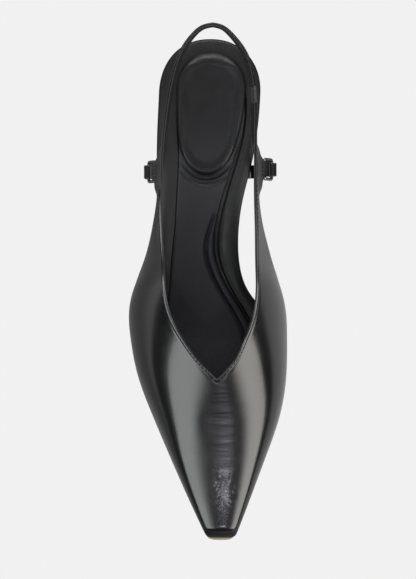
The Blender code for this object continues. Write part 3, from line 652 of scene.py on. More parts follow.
# Top edge of one side: the way from the topline into the opening, normal x tangent, which turns into the
# crest's own line at the throat, and the distance of every point from the topline, measured across it
def topEdge(grid):
    face, throat, fromTop = grid["face"], grid["throat"], grid["fromTop"]
    normal, up = (grid[key][throat:, -1] for key in ("normal", "up"))
    tangent = np.gradient(face[throat:, -1], axis=0)
    tangent[0] = face[throat + 1, -1] - face[throat, -1]
    into = unit(np.cross(normal, tangent))
    into *= np.sign((into * up).sum(axis=1, keepdims=True))
    crestBack = unit(face[throat, -1] - face[throat - 1, -1])
    turn = smooth(grid["chords"] / upper["throatTurn"])[:, None]
    rim = (1 - turn) * crestBack + turn * into
    rim[-1, 0] = 0
    lean = np.abs(unit(tangent[0]))
    ahead = (grid["vampS"] - upper["throat"])[:, None]
    vampTop = fromTop[:throat]
    beside = vampTop * lean[0] - ahead * lean[1] > 0
    vampAway = np.where(beside, vampTop * lean[1] + ahead * lean[0], np.hypot(vampTop, ahead))
    wingAway = fromTop[throat:] * np.abs((into * up).sum(axis=1))[:, None]
    grid["rim"] = np.concatenate([np.repeat(crestBack[None], throat, axis=0), unit(rim)])
    grid["away"] = np.concatenate([vampAway, wingAway])


# Relief of one side: a folded edge, half an ellipse with a crease behind it, where the edge isn't rolled
# over, a parabola down to the rim where it is, and the creases of the vamp
def wallRelief(side, grid):
    away, face = grid["away"], grid["face"]
    fold = upper["foldedEdge"] / 2
    swell = upper["foldSwell"] * np.sqrt(np.clip(1 - ((away - fold) / fold)**2, 0, 1))
    swell -= upper["foldCrease"] * bell(away - 2 * fold - upper["creaseFrom"], upper["creaseWidth"])
    rolled = np.interp(grid["station"], *zip(*upper["rolled"][side]))[:, None]
    roll = np.clip(1 - away / upper["strapRollWidth"], 0, 1)**2
    grid["swell"] = swell * (1 - rolled) - upper["strapRoll"] * roll * rolled
    onVamp = np.arange(len(face))[:, None] < grid["throat"] + creases["rows"]
    grid["creases"] = np.where(onVamp, creaseHeight(face[..., 0], face[..., 1]), 0)


# Frame of a tab's end in the x-z plane: centre of the loop's upper bar, downward and inward steps
def tabFrame(side):
    tab = tabs[side]
    chord = chordAt(tab["s"])
    low = np.array([lowAt[side](chord), 0, lowAt["z"](chord)])
    end = np.array([tab["x"], 0, tab["z"]])
    down = unit(end - low)
    inward = np.array([down[2], 0, -down[0]])
    inward *= np.sign(-tab["x"] * inward[0])
    bar = end + inward * (upper["wall"] + gap + loop["wire"])
    return bar, down, inward


# Leather turned round the loop's bar: the tab's end carried along an arc of the given turn
def tabFold(side, grid, layer):
    bar, down, inward = tabFrame(side)
    radius = upper["wall"] + gap + loop["wire"]
    turn = np.radians(np.linspace(0, tabs["turn"], wallRowCount["fold"]))[:, None, None]
    way = np.sin(turn) * down - np.cos(turn) * inward
    across = np.zeros((1, tabs["rows"], 3))
    across[0, :, 1] = grid["face"][grid["tab"], 0, 1]
    over, under = (bar + across + way * (radius - layer[depth]) for depth in ("outer", "inner"))
    t = np.linspace(0, 1, wallRowCount["lowRim"] + 2)[1:-1, None]
    frontEdge = under[:, -1:] * t + over[:, -1:] * (1 - t)
    backEdge = over[:, :1] * t + under[:, :1] * (1 - t)
    return loft(np.concatenate([over, frontEdge, under[:, ::-1], backEdge], axis=1), capStart=False)


# Rim between the edges of two faces: half a circle that bulges the given way, cos and sin of the angle.
# Where the roundness falls to 0 it becomes a straight line of even steps.
def rimArc(outer, inner, way, angle, roundness=1):
    angle = angle[1:-1, None]
    half = (outer - inner) / 2
    bulge = np.linalg.norm(half, axis=2, keepdims=True) * roundness
    across = np.cos(angle) * roundness + (1 - roundness) * (1 - 2 * angle / math.pi)
    return (outer + inner) / 2 + half * across + way * bulge * np.sin(angle)


# One layer of one side: every row is a ring of outer face, rounded top rim, inner face and rounded
# lower rim, which straightens where a tab goes on
def layerBlocks(side, layer):
    grid = grids[side]
    thick = layer["inner"] - layer["outer"]
    sink = (thick / 2 + layer["inset"]) * smooth(1 - grid["away"] / upper["sinkReach"])
    face = grid["face"] - sink[..., None] * grid["rim"][:, None]
    relief = grid["creases"] + (grid["swell"] if layer["swollen"] else 0)
    outer = face + (relief - layer["outer"])[..., None] * grid["normal"]
    inner = face - layer["inner"] * grid["normal"]
    rimSteps, lowSteps = wallRowCount["rim"], wallRowCount["lowRim"]
    topRim = rimArc(outer[:, -1:], inner[:, -1:], grid["rim"][:, None],
                    np.linspace(0, math.pi, rimSteps + 2))
    lowRim = rimArc(outer[:, :1], inner[:, :1], -grid["up"][:, :1],
                    np.linspace(math.pi, 0, lowSteps + 2), (1 - grid["share"])[:, None, None])
    rings = np.concatenate([outer, topRim, inner[:, ::-1], lowRim], axis=1)
    # no top rim ahead of the throat, no lower rim where the tab goes on into its fold
    rows, cols = rings.shape[:2]
    count = outer.shape[1]
    i, j = np.meshgrid(np.arange(rows - 1), np.arange(cols), indexing="ij")
    overRim = (j >= count - 1) & (j < count + rimSteps)
    underRim = j >= 2 * count + rimSteps - 1
    keep = ~(overRim & (i < grid["throat"]))
    keep &= ~(underRim & (i >= grid["tab"].start) & (i < grid["tab"].stop - 1))
    blocks = []
    runs = [(0, rows)] if side == "lat" else [(0, grid["gap"][0] + 1), (grid["gap"][1], rows)]
    for first, stop in runs:
        faces = ringQuads(stop - first, cols, keep[first:stop - 1])
        if side == "med":
            faces.append(list(range(cols)) if first else list(range((stop - 1) * cols, stop * cols)))
        blocks.append((rings[first:stop].reshape(-1, 3), faces))
    return blocks + [tabFold(side, grid, layer)]


grids = {}
for side in sides:
    grids[side] = wallFace(side)
    topEdge(grids[side])
    wallRelief(side, grids[side])
for name, material, node in (("leather", calf, "upper"), ("lining", lining, None)):
    blocks = [block for side in sides for block in layerBlocks(side, layers[name])]
    makePiece("upper_" + name, blocks, material, node)


# Short elastic set into the strap; the roundness of its edges is a share of its thickness
elastic = {"thick": 1.2, "inset": 0.3, "edge": 0.12}


# Ring of a rounded rectangle: corners turned with quarter circles, width along a, height along b
def roundedRing(width, height, radius, steps=5):
    a = np.linspace(0, math.pi / 2, steps)
    quarter = np.stack([np.cos(a), np.sin(a)], axis=1) * radius
    flip = quarter[::-1] * [-1, 1]
    corner = np.array([width / 2 - radius, height / 2 - radius])
    return np.concatenate([quarter + corner, flip + corner * [-1, 1],
                           -quarter - corner, -flip + corner * [1, -1]])


# Slab between the two strap ends: a rounded ring as high as the strap, carried along its middle
def strapElastic():
    grid = grids["med"]
    rows = slice(grid["gap"][0], grid["gap"][1] + 1)
    low = grid["face"][rows, 0]
    top = grid["face"][rows, -1]
    normal = grid["normal"][rows, grid["face"].shape[1] // 2]
    centre = (low + top) / 2 - normal * upper["wall"] / 2
    height = np.linalg.norm(top - low, axis=1)
    ring = roundedRing(1, 1, elastic["edge"])
    span = (height - 2 * elastic["inset"])[:, None, None]
    points = (centre[:, None] + ring[None, :, :1] * span * unit(top - low)[:, None]
              + ring[None, :, 1:] * elastic["thick"] * normal[:, None])
    makePiece("elastic_web", [loft(points)], elasticWeave, "strap_elastic")


strapElastic()


# Footbed: covered board with a rounded rim, the sock panel lying in it and the heel pad
footbed = {
    "thick": 3.6, "recess": 1.3, "lip": 1.5, "backRound": 27.0, "frontRound": 6.0,
    "groove": (-0.1, 0.4), "deep": 2.9, "flange": 3.0,  # groove round the sock, lateral and medial
    "innerRound": 1.6, "innerDrop": 1.1, "crown": 0.45,
    "insideUpper": {"lat": (118.0, 16.0), "med": (132.0, 14.0)},  # from where, over what length
    "spread": (20.0, 40.0),  # how fast the sock's stations catch up with the board's, back and front
    "arch": {"rise": 2.2, "s": 96.0, "width": 26.0, "from": 0.62, "over": 0.22},
    "tipGap": 1.0, "stations": 300, "roundSteps": 8, "topSteps": 14,
}
sock = {
    "thick": 1.0, "inset": 1.4, "ease": (1.2, 0.6), "easeDrop": 0.6, "seat": 0.1,
    "waist": (46.0, 14.0), "inlayEnd": (190.0, 30.0), "beadEnd": (178.0, 30.0),
    "bead": 0.10, "beadWidth": (0.7, 4.2), "beadFrom": (74.0, 36.0),
    "groove": {"depth": 1.2, "width": 0.8, "from": 0.2, "fade": 1.2},
    "lines": ((1.4, 1.3, 1.1), (0.9, 4.3, 0.8)),  # depth, distance from the pad and width
    "linesFrom": (56.0, 10.0), "linesZone": (50.0, 80.0), "linesSamples": 120,
    "edgeSteps": (0, 0.08, 0.2, 0.4, 0.7, 1.1, 1.5, 1.9, 2.3, 2.7, 3.1, 3.5, 3.9, 4.3, 4.7, 5.2, 5.9),
    "narrow": 9.0, "middle": 34, "stretches": (55.0, 84.0, 190.0),
    "count": {"back": 60, "lines": 60, "middle": 100, "front": 40},
}
sockAt = splines("s lat med", [
    (14, -14.5, 14.5), (30, -16.0, 16.8), (46, -16.2, 15.9), (62, -16.3, 11.9), (78, -17.1, 7.0),
    (95, -18.2, 3.3), (104, -19.2, 2.8), (113, -20.0, 4.6), (130, -21.5, 13.0), (143, -23.2, 20.5),
    (162, -22.8, 24.0), (185, -18.5, 21.5), (205, -12.5, 17.0), (225, -6.0, 12.0),
])
sockEnds = {"first": 14.0, "final": 225.0, "back": 19.0, "front": 12.0}
padAt = splines("s lat med", [
    (6.8, -15.8, 16.2), (16, -16.6, 17.2), (25, -17.0, 17.3), (35, -17.0, 16.6), (48, -16.4, 13.8),
    (56, -15.4, 11.6), (67.5, -13.5, 9.0),
])
padEnds = {"first": 6.8, "final": 67.5, "back": 18.0, "front": 16.0, "frontPower": 2.2}


# Closed outline of a panel with rounded ends
def closedOutline(curves, s, ends):
    return roundTrip(*outline(curves, s, ends), s)


# Rise of the arch along the medial border of the waist: a bell along the shoe times a step across it
def archLift(s, share):
    lift = footbed["arch"]
    return lift["rise"] * bell(s - lift["s"], lift["width"]) * stepUp(share, (lift["from"], lift["over"]))


# Board: a frame whose section runs up the edge, over a rounded lip and a low crown, down into the
# groove round the sock and back underneath
def footbedBoard():
    tip = last["tip"] - upper["wall"] - gap - footbed["tipGap"]
    front = footbed["frontRound"]
    ends = {"first": 0, "final": tip, "back": footbed["backRound"], "front": front}
    s = stations(0, tip, footbed["stations"])
    lat, med = outline(outlineAt, s, ends)
    inset = (upper["wall"] + 2 * gap) * roundEnd((s - tip + front) / front, frontPower)
    lat = lat + inset * stepUp(s, footbed["insideUpper"]["lat"])
    med = med - inset * stepUp(s, footbed["insideUpper"]["med"])
    rim = roundTrip(lat, med, s)
    catchUp = (sockEnds["first"] * np.exp(-s / footbed["spread"][0])
               - (tip - sockEnds["final"]) * np.exp((s - tip) / footbed["spread"][1]))
    sockS = s + catchUp
    sockS[[0, -1]] = sockEnds["first"], sockEnds["final"]
    hole = closedOutline(sockAt, sockS, sockEnds)
    width = np.linalg.norm(hole - rim, axis=1)[:, None]
    a = np.linspace(0, math.pi / 2, footbed["roundSteps"])
    t = np.linspace(0, 1, footbed["topSteps"])[1:-1]
    lip, inner = footbed["lip"], footbed["innerRound"]
    groove = np.where(np.arange(len(rim)) < len(s), *footbed["groove"])[:, None]
    still = np.zeros((len(rim), 1))
    under = width + footbed["flange"]
    across = np.concatenate([still, still, still + lip * (1 - np.cos(a)),
                             lip + (width - lip - inner - groove) * t,
                             width - groove - inner * (1 - np.sin(a)), width - groove,
                             under, under], axis=1)
    drop = np.concatenate([still, still, still + lip * (1 - np.sin(a)),
                           still - footbed["crown"] * np.sin(math.pi * t),
                           still + footbed["innerDrop"] * (1 - np.cos(a)),
                           still + footbed["deep"], still + footbed["deep"], still], axis=1)
    place = rim[:, None] + across[..., None] * unit(hole - rim)[:, None]
    x = place[..., 0]
    s = np.clip(place[..., 1], 0, tip)
    left, right = outlineAt["lat"](s), outlineAt["med"](s)
    floor = bottom(s) + gap
    z = floor + footbed["thick"] + archLift(s, (x - left) / (right - left)) - drop
    z[:, [0, -1]] = floor[:, [0, -1]]
    z[:, 1] = floor[:, 1] + footbed["thick"] - lip
    rings = pointsOf(x, place[..., 1], z)
    rings = np.concatenate([rings, rings[:1]])
    makePiece("footbed_board", [loft(rings, False, False)], boardLeather, "insole")


# Distance in plan from every point to the nearest point of a closed outline
def planDistance(points, edge):
    gapX = points[:, None, 0] - edge[None, :, 0]
    gapS = points[:, None, 1] - edge[None, :, 1]
    return np.sqrt((gapX**2 + gapS**2).min(axis=1))


# Depth of the pressed lines in front of the pad: bells of the distance from its outline
def pressedLines(x, s):
    edge = closedOutline(padAt, stations(padEnds["first"], padEnds["final"], sock["linesSamples"]), padEnds)
    near = (s > sock["linesZone"][0]) & (s < sock["linesZone"][1])
    reach = planDistance(np.stack([x[near], s[near]], axis=1), edge)
    depth = np.zeros(x.shape)
    depth[near] = sum(deep * bell(reach - away, width) for deep, away, width in sock["lines"])
    return depth * stepUp(s, sock["linesFrom"])


# Sock panel: flat sheet with rounded edges, a bead (half a sine wave) and a second groove (a bell)
# along the S-shaped medial edge, and the pressed lines
def sockPanel():
    first, final = sockEnds["first"], sockEnds["final"]
    backEnd, linesEnd, frontEnd = sock["stretches"]
    count = sock["count"]
    s = np.concatenate([stations(first, 2 * backEnd - first, 2 * count["back"])[:count["back"]],
                        np.linspace(backEnd, linesEnd, count["lines"])[1:],
                        np.linspace(linesEnd, frontEnd, count["middle"])[1:],
                        stations(2 * frontEnd - final, final, 2 * count["front"])[count["front"] + 1:]])
    lat, med = outline(sockAt, s, sockEnds)
    inlay = stepUp(s, sock["waist"]) * stepDown(s, sock["inlayEnd"])
    med = med - sock["inset"] * inlay
    wide = (med - lat)[:, None]
    fromLat = np.array(sock["edgeSteps"]) * np.minimum(1, wide / 2 / sock["narrow"])
    t = np.linspace(0, 1, sock["middle"])[1:-1]
    middle = fromLat[:, -1:] + (wide - 2 * fromLat[:, -1:]) * t
    offset = np.concatenate([fromLat, middle, wide - fromLat[:, ::-1]], axis=1)
    x = lat[:, None] + offset
    station = np.broadcast_to(s[:, None], x.shape)
    fromMed = wide - offset
    near = np.minimum(offset, fromMed)
    ease = np.where(offset < fromMed, *sock["ease"])
    edge = sock["easeDrop"] * (1 - roundEnd(1 - near / ease, 2)) * (near < ease)
    along = stepUp(station, sock["waist"]) * stepDown(station, sock["beadEnd"])
    narrowBead, wideBead = sock["beadWidth"]
    inward = np.maximum(wideBead * stepUp(station, sock["beadFrom"]), narrowBead)
    bead = sock["bead"] * inward * np.sin(math.pi * np.clip(fromMed / inward, 0, 1)) * along
    cut = sock["groove"]
    groove = cut["depth"] * bell(fromMed - inward - cut["from"], cut["width"]) * along
    groove = groove * stepUp(inward, (narrowBead, cut["fade"]))
    top = bottom(station) + 2 * gap + footbed["thick"] - footbed["recess"] + sock["thick"]
    top = top - edge + bead - groove - pressedLines(x, station)
    base = bottom(station) + gap + footbed["thick"] - footbed["deep"] + sock["seat"]
    low, high = (pointsOf(x, station, z) for z in (base, top))
    makePiece("sock_panel", [loft(np.concatenate([low, high[:, ::-1]], axis=1), False, False)],
              sockLeather, "sock")


# Heel pad: a raised rim round a shallow basin
pad = {
    "rise": 2.5, "rim": 2.6, "power": 2.2, "backRim": 5.2, "backPower": 1.3, "seat": 0.1,
    "backFrom": (17.0, 9.0), "backSides": (15.0, 8.0), "sink": 0.9, "sinkFrom": (2.0, 5.0),
    "middle": (-0.8, 34.0), "rings": 40, "stations": 110, "fill": 0.8,
    "edgeSteps": (0, 0.08, 0.25, 0.5, 0.8, 1.2, 1.6, 2.0, 2.4, 2.8, 3.4),
}


# Egg outline filled by rays from its middle; the rim rises along a quarter of a superellipse, wider
# and softer at the back, and the top sinks a little inside it
def heelPad():
    edge = closedOutline(padAt, stations(padEnds["first"], padEnds["final"], pad["stations"]), padEnds)
    middle = np.array(pad["middle"])
    reach = np.linalg.norm(edge - middle, axis=1)[None]
    steps = np.array(pad["edgeSteps"])[:, None]
    t = np.linspace(0, 1, pad["rings"])[:, None]
    inside = chain(steps + 0 * reach, steps[-1] + (reach - steps[-1]) * t)
    place = middle + (edge - middle)[None] * (1 - inside / reach)[..., None]
    rear = stepDown(edge[:, 1], pad["backFrom"]) * stepDown(np.abs(edge[:, 0]), pad["backSides"])
    rim = pad["rim"] + (pad["backRim"] - pad["rim"]) * rear
    power = pad["power"] + (pad["backPower"] - pad["power"]) * rear
    base = bottom(place[..., 1]) + 3 * gap + footbed["thick"] - footbed["recess"] + sock["thick"]
    z = base + pad["seat"] + pad["rise"] * roundEnd(1 - inside / rim, power)
    z = z - pad["sink"] * stepUp(inside, pad["sinkFrom"])
    top, under = (np.concatenate([place, height[..., None]], axis=-1) for height in (z, base))
    piece = makePiece("pad_cushion", [loft(np.concatenate([under[::-1], top]), False, False)],
                      padLeather, "heel_pad")


footbedBoard()
sockPanel()
heelPad()


# Outsole: thin leather sole from the toe to the heel breast with eased edges
outsole = {
    "proud": 1.0, "round": 0.8, "waistInset": 1.2, "waistFade": 30.0, "toePower": 1.9,
    "waistRows": 110, "toeRows": 90, "roundSteps": 6, "treadSteps": 22,
}


# Each row runs down one side, round a quarter circle, across the tread and up the other side
def soleLoft():
    final = last["tip"] + outsole["proud"]
    front = last["treadFront"]
    t = np.linspace(0, 1, outsole["toeRows"])
    s = chain(np.linspace(last["breast"] + gap, front, outsole["waistRows"]),
              front + (final - front) * (1 - (1 - t)**outsole["toePower"]))
    # the back is cut straight across, so its rounding ends at the heel, behind the breast
    ends = {"first": -1, "back": 1, "final": final, "front": final - upper["toeCap"]}
    lat, med = outline(outlineAt, s, ends)
    atWaist = stepDown(s, (last["treadBack"], outsole["waistFade"]))
    lat = lat + outsole["waistInset"] * atWaist
    med = med - outsole["waistInset"] * atWaist
    thick = (last["sole"] - (last["sole"] - last["waist"]) * atWaist)[:, None]
    half = ((med - lat) / 2)[:, None]
    a = np.linspace(0, math.pi / 2, outsole["roundSteps"])
    turn = np.minimum(outsole["round"], half / 2)
    t = np.linspace(0, 1, outsole["treadSteps"])[1:-1]
    easeIn = turn * (1 - np.cos(a))
    easeUp = turn * (1 - np.sin(a))
    offset = np.concatenate([0 * half, easeIn, turn + 2 * (half - turn) * t,
                             2 * half - easeIn[:, ::-1], 2 * half], axis=1)
    lift = np.concatenate([thick, easeUp, 0 * half * t, easeUp[:, ::-1], thick], axis=1)
    x = lat[:, None] + offset
    z = bottom(s)[:, None] - thick + lift
    makePiece("sole_leather", [loft(pointsOf(x, s[:, None], z), capEnd=False)], tan,
              "outsole")


soleLoft()


# Heel: covered block whose outline shrinks from the seat to the tip, drawn in fast under the seat
heel = {
    "inset": 1.2, "x": -0.8, "half": 25.2, "lean": 1.2, "leanFrom": 8.0,
    "drawIn": 2.5, "backDrawIn": 1.3, "backZone": (2.0, 24.0), "around": 112, "rings": 70,
    "backPower": 2.2, "frontPower": 6.0,
}


# Closed outline with a rounded back and a flat front: a superellipse with one power behind, one ahead
def heelOutline(x, half, back, front):
    angle = np.linspace(0, 2 * math.pi, heel["around"], endpoint=False)
    power = np.where(np.sin(angle) < 0, heel["backPower"], heel["frontPower"])
    across, along = (np.sign(wave) * np.abs(wave)**(2 / power) for wave in (np.cos(angle), np.sin(angle)))
    return x + half * across, (back + front) / 2 + (front - back) / 2 * along


# From the seat's outline to the tip's: the share of the way is 1 - (1 - h)^p at the share h of the height
def coveredHeel():
    breast = last["breast"]
    xTop, sTop = heelOutline(heel["x"], heel["half"] - heel["inset"], heel["inset"], breast)
    lean = np.where(sTop > breast - heel["leanFrom"], (xTop - heel["x"]) / heel["half"], 0)
    xTop = xTop - heel["lean"] * np.maximum(lean, 0)
    xLow, sLow = heelOutline(tipPiece["x"], tipPiece["half"], tipPiece["back"], tipPiece["front"])
    h = np.linspace(0, 1, heel["rings"])[:, None]
    draw = 1 - (1 - h)**heel["drawIn"]
    back = 1 - (1 - h)**heel["backDrawIn"]
    x = xTop + (xLow - xTop) * draw
    s = sTop + (sLow - sTop) * (back + (draw - back) * stepUp(sTop, heel["backZone"]))
    z = (1 - h) * bottom(sTop) + h * (tipPiece["thick"] + gap)
    makePiece("covered_heel", [loft(pointsOf(x, s, z))], calf, "heel")


# Tip: the low outline set in by a rounded profile of (inset, height)
def heelTip():
    rounded, ease, thick = tipPiece["round"], tipPiece["topEase"], tipPiece["thick"]
    profile = ((rounded, 0), (tipPiece["roundMiddle"], tipPiece["roundMiddle"]), (0, rounded),
               (0, thick - ease), (ease, thick))
    rings = []
    for inset, height in profile:
        x, s = heelOutline(tipPiece["x"], tipPiece["half"] - inset, tipPiece["back"] + inset,
                           tipPiece["front"] - inset)
        rings.append(pointsOf(x, s, height))
    makePiece("heel_tip_rubber", [loft(np.array(rings))], rubber, "heel_tip")


coveredHeel()
heelTip()


# Polyline through corners given as (point, radius), each corner turned along an arc
def roundedPath(corners, steps, closed=False):
    path = []
    count = len(corners)
    for i, (point, radius) in enumerate(corners):
        point = np.asarray(point, float)
        if radius == 0 or (not closed and i in (0, count - 1)):
            path.append(point[None])
            continue
        back = unit(np.asarray(corners[i - 1][0], float) - point)
        ahead = unit(np.asarray(corners[(i + 1) % count][0], float) - point)
        half = math.acos(np.clip(back @ ahead, -1, 1)) / 2
        centre = point + unit(back + ahead) * radius / math.sin(half)
        start = point + back * radius / math.tan(half) - centre
        end = point + ahead * radius / math.tan(half) - centre
        turn = math.pi - 2 * half
        a = np.linspace(0, turn, steps + 1)[:, None]
        path.append(centre + (np.sin(turn - a) * start + np.sin(a) * end) / math.sin(turn))
    return np.concatenate(path)


# Centre of the loop's upper bar and of its lower bar, in (x, z)
def loopBars(side):
    tab = tabs[side]
    bar = tabFrame(side)[0][[0, 2]]
    return bar, bar + loop["drop"] * np.array([np.sign(tab["x"]) * tab["out"], -tab["drop"]])


# Wire loop hanging in a tab: a circle carried along a rounded rectangle
def wireLoop(side):
    tabS = tabs[side]["s"]
    bar, lowBar = loopBars(side)
    ends = ((bar, 1), (bar, -1), (lowBar, -1), (lowBar, 1))
    corners = [((b[0], tabS + k * loop["half"], b[1]), loop["corner"]) for b, k in ends]
    path = roundedPath(corners, loop["cornerSteps"], closed=True)
    ahead = unit(np.roll(path, -1, axis=0) - np.roll(path, 1, axis=0))
    facing = unit(np.cross([0, 1, 0], np.array([lowBar[0] - bar[0], 0, lowBar[1] - bar[1]])))
    beside = np.cross(ahead, facing)
    a = np.linspace(0, 2 * math.pi, loop["around"], endpoint=False)[None, :, None]
    tube = path[:, None] + loop["wire"] * (np.cos(a) * facing + np.sin(a) * beside[:, None])
    tube = np.concatenate([tube, tube[:1]])
    makePiece("loop_" + sides[side], [loft(tube, False, False)], nickel,
              "ring_" + sides[side])


# Side strap from the waist, turned over the loop's lower bar
sideStrap = {
    "half": 3.3, "thick": 1.2, "edge": 0.4, "root": 7.0, "tongue": 7.5, "kneeOut": 1.6, "kneeRound": 2.2,
    "slack": 0.1, "turnRound": 0.9, "step": 0.5, "levelOver": 22.0, "cornerSteps": 14,
}


# Rounded ring carried along the strap's path in (x, z), level with the sole's slope at its root
def waistStrap(side):
    tab = tabs[side]
    sign = np.sign(tab["x"])
    lowBar = loopBars(side)[1]
    edge = float(outlineAt[side](tab["s"]))
    rootZ = float(bottom(tab["s"])) + 2 * gap + sideStrap["thick"] / 2
    turn = loop["wire"] + gap + sideStrap["thick"] / 2 + sideStrap["slack"]
    knee = np.array([edge + sign * sideStrap["kneeOut"], rootZ])
    rise = unit(lowBar - knee)
    outward = np.array([rise[1], -rise[0]])
    outward *= np.sign(outward[0] * sign)
    corners = [((edge - sign * sideStrap["root"], rootZ), 0), (knee, sideStrap["kneeRound"]),
               (lowBar - outward * turn + rise * turn, turn * sideStrap["turnRound"]),
               (lowBar + outward * turn + rise * turn, turn * sideStrap["turnRound"]),
               (lowBar + outward * turn - rise * sideStrap["tongue"], 0)]
    path = roundedPath(corners, sideStrap["cornerSteps"])
    reach = runAlong(path)
    steps = np.linspace(0, reach[-1], int(reach[-1] / sideStrap["step"]))
    path = np.stack([np.interp(steps, reach, path[:, i]) for i in (0, 1)], axis=1)
    ahead = unit(np.gradient(path, axis=0))
    face = np.stack([ahead[:, 1], -ahead[:, 0]], axis=1)
    slope = float(bottom(tab["s"] + 1) - bottom(tab["s"] - 1)) / 2
    shear = slope * (1 - stepUp(steps, (sideStrap["root"], sideStrap["levelOver"])))
    ring = roundedRing(2 * sideStrap["half"], sideStrap["thick"], sideStrap["edge"])
    x = path[:, :1] + face[:, :1] * ring[None, :, 1]
    z = path[:, 1:] + face[:, 1:] * ring[None, :, 1] + shear[:, None] * ring[None, :, 0]
    makePiece("waist_strap_" + sides[side], [loft(pointsOf(x, tab["s"] + ring[None, :, 0], z))], calf,
              "side_strap_" + sides[side])


for side in sides:
    wireLoop(side)
    waistStrap(side)


# Stitches are half-sunk grains of thread; the rows lie at set distances from a tab's end and from the
# wings' top edge, and at shares of the strap's height beside the elastic
stitch = {
    "length": 1.7, "width": 0.6, "height": 0.34, "pitch": 2.3, "around": 8, "rings": 7,
    "fromEdge": 1.3, "fromThroat": 3, "midWing": 60, "beforeTab": 12,
    "fromTabEnd": (1.8, 5.2), "everyRow": 3, "shares": (0.2, 0.4, 0.6, 0.8), "besideElastic": 2,
}


# One ellipsoid for every centre, with its own three axes
def stitches(name, centre, along, out):
    along = unit(along)
    beside = np.cross(along, out)
    a, b = np.meshgrid(np.linspace(0, math.pi, stitch["rings"]),
                       np.linspace(0, 2 * math.pi, stitch["around"], endpoint=False), indexing="ij")
    shape = [stitch["length"] / 2 * np.cos(a), stitch["width"] / 2 * np.sin(a) * np.cos(b),
             stitch["height"] * np.sin(a) * np.sin(b)]
    points = centre[:, None, None] + sum(
        part[None, :, :, None] * axis[:, None, None] for part, axis in zip(shape, (along, beside, out)))
    blocks = [loft(grain, False, False) for grain in points]
    makePiece(name, blocks, thread)


# Columns of a row of the wall that lie nearest to the given distances above its lower edge
def columnsAt(grid, row, distances):
    height = np.linalg.norm(grid["face"][row] - grid["face"][row, 0], axis=1)
    return [int(np.argmin(np.abs(height - d))) for d in distances]


# Two rows across a tab, on every third row of the wall
def tabStitches(side):
    grid = grids[side]
    rows = np.arange(grid["tab"].start, grid["tab"].stop)[1:-1:stitch["everyRow"]]
    cols = columnsAt(grid, rows[1], stitch["fromTabEnd"])
    centre, out = (np.concatenate([grid[key][rows, c] for c in cols]) for key in ("face", "normal"))
    stitches("tab_stitches_" + sides[side], centre, np.tile([0.0, 1.0, 0.0], (len(centre), 1)), out)


# A row along the top edge of a wing, from the throat to the tab, at one distance from it
def toplineStitches(side):
    grid = grids[side]
    rows = slice(grid["throat"] + stitch["fromThroat"], grid["tab"].start - stitch["beforeTab"])
    midWing = grid["throat"] + stitch["midWing"]
    col = int(np.argmin(np.abs(grid["away"][midWing] - stitch["fromEdge"])))
    sink = layers["leather"]["inner"] / 2 * smooth(1 - grid["away"][rows, col] / upper["sinkReach"])
    line = grid["face"][rows, col] - sink[:, None] * grid["rim"][rows]
    reach = runAlong(line)
    steps = np.arange(0, reach[-1], stitch["pitch"])
    centre, along, out = (np.stack([np.interp(steps, reach, part[:, i]) for i in range(3)], axis=1)
                          for part in (line, np.gradient(line, axis=0), grid["normal"][rows, col]))
    stitches("topline_stitches_" + sides[side], centre, along, unit(out))


# A row across each strap end that holds the elastic
def strapStitches():
    grid = grids["med"]
    rows = [grid["gap"][0] - stitch["besideElastic"], grid["gap"][1] + stitch["besideElastic"]]
    height = np.linalg.norm(grid["face"][rows[0], -1] - grid["face"][rows[0], 0])
    cols = columnsAt(grid, rows[0], [share * height for share in stitch["shares"]])
    centre, along, out = (np.concatenate([grid[key][row, cols] for row in rows])
                          for key in ("face", "up", "normal"))
    stitches("strap_end_stitches", centre, along, out)


for side in sides:
    tabStitches(side)
for side in sides:
    toplineStitches(side)
strapStitches()
print("pieces ready")


# Studio in metres: pale floor, even to the camera and painted with light and shade for what the shoe
# mirrors, a long softbox ahead of the shoe on each side, a small cool panel and a lamp over the toe,
# and a low panel behind the heel
studio = {
    "floor": "#F1F1F1", "floorSize": 6.0,
    "room": {"lean": (0, 0.5, 0.866), "low": -0.3, "high": 0.9, "horizon": 0.05, "zenith": 0.45},
    # what the shoe mirrors is painted on the floor for every ray but the camera's: the base tone ('table')
    # is painted shade, round pale spots are painted reflections of light, and one dark spot paints shade
    # ahead of the toe by taking the first spot's light away
    "table": 0.10, "paintedSpots": (
        {"at": (0.12, -0.13, 0.0), "radius": 0.17, "fade": 0.09, "paintedTone": 0.58},
        {"at": (0.005, -0.165, 0.0), "radius": 0.05, "fade": 0.03, "paintedTone": -0.50},
        {"at": (-0.42, 0.00, 0.0), "radius": 0.26, "fade": 0.14, "paintedTone": 0.75}),
    "softboxes": {
        "left": {"angle": -35.3, "distance": 1.3, "ahead": 1.35, "size": (1.46, 1.4), "radiance": 4.1,
                 "fade": (1.0, 0.565), "colour": "#FBFFFF"},
        "right": {"angle": 48.5, "distance": 1.3, "ahead": 1.35, "size": (1.27, 1.4), "radiance": 5.1,
                  "fade": (0.0, 0.445), "colour": "#FFFDF8"}},
    "lamps": {
        "panel": {"at": (0.147, -1.14, 1.30), "target": (0, -0.08, 0.03), "size": (0.26, 0.52),
                  "radiance": 1.35, "colour": "#F0F1FF"},
        "lamp": {"at": (0.125, -0.90, 1.28), "target": (0, -0.1, 0.02), "size": (0.18, 0.12),
                 "radiance": 12.0, "colour": "#F4F3FF"},
        "back": {"at": (0.0, 1.20, 1.15), "target": (0, 0.1, 0.04), "size": (1.2, 0.50),
                 "radiance": 8.0, "colour": "#FFFFFF"}},
    "aimHeight": 0.03,
}


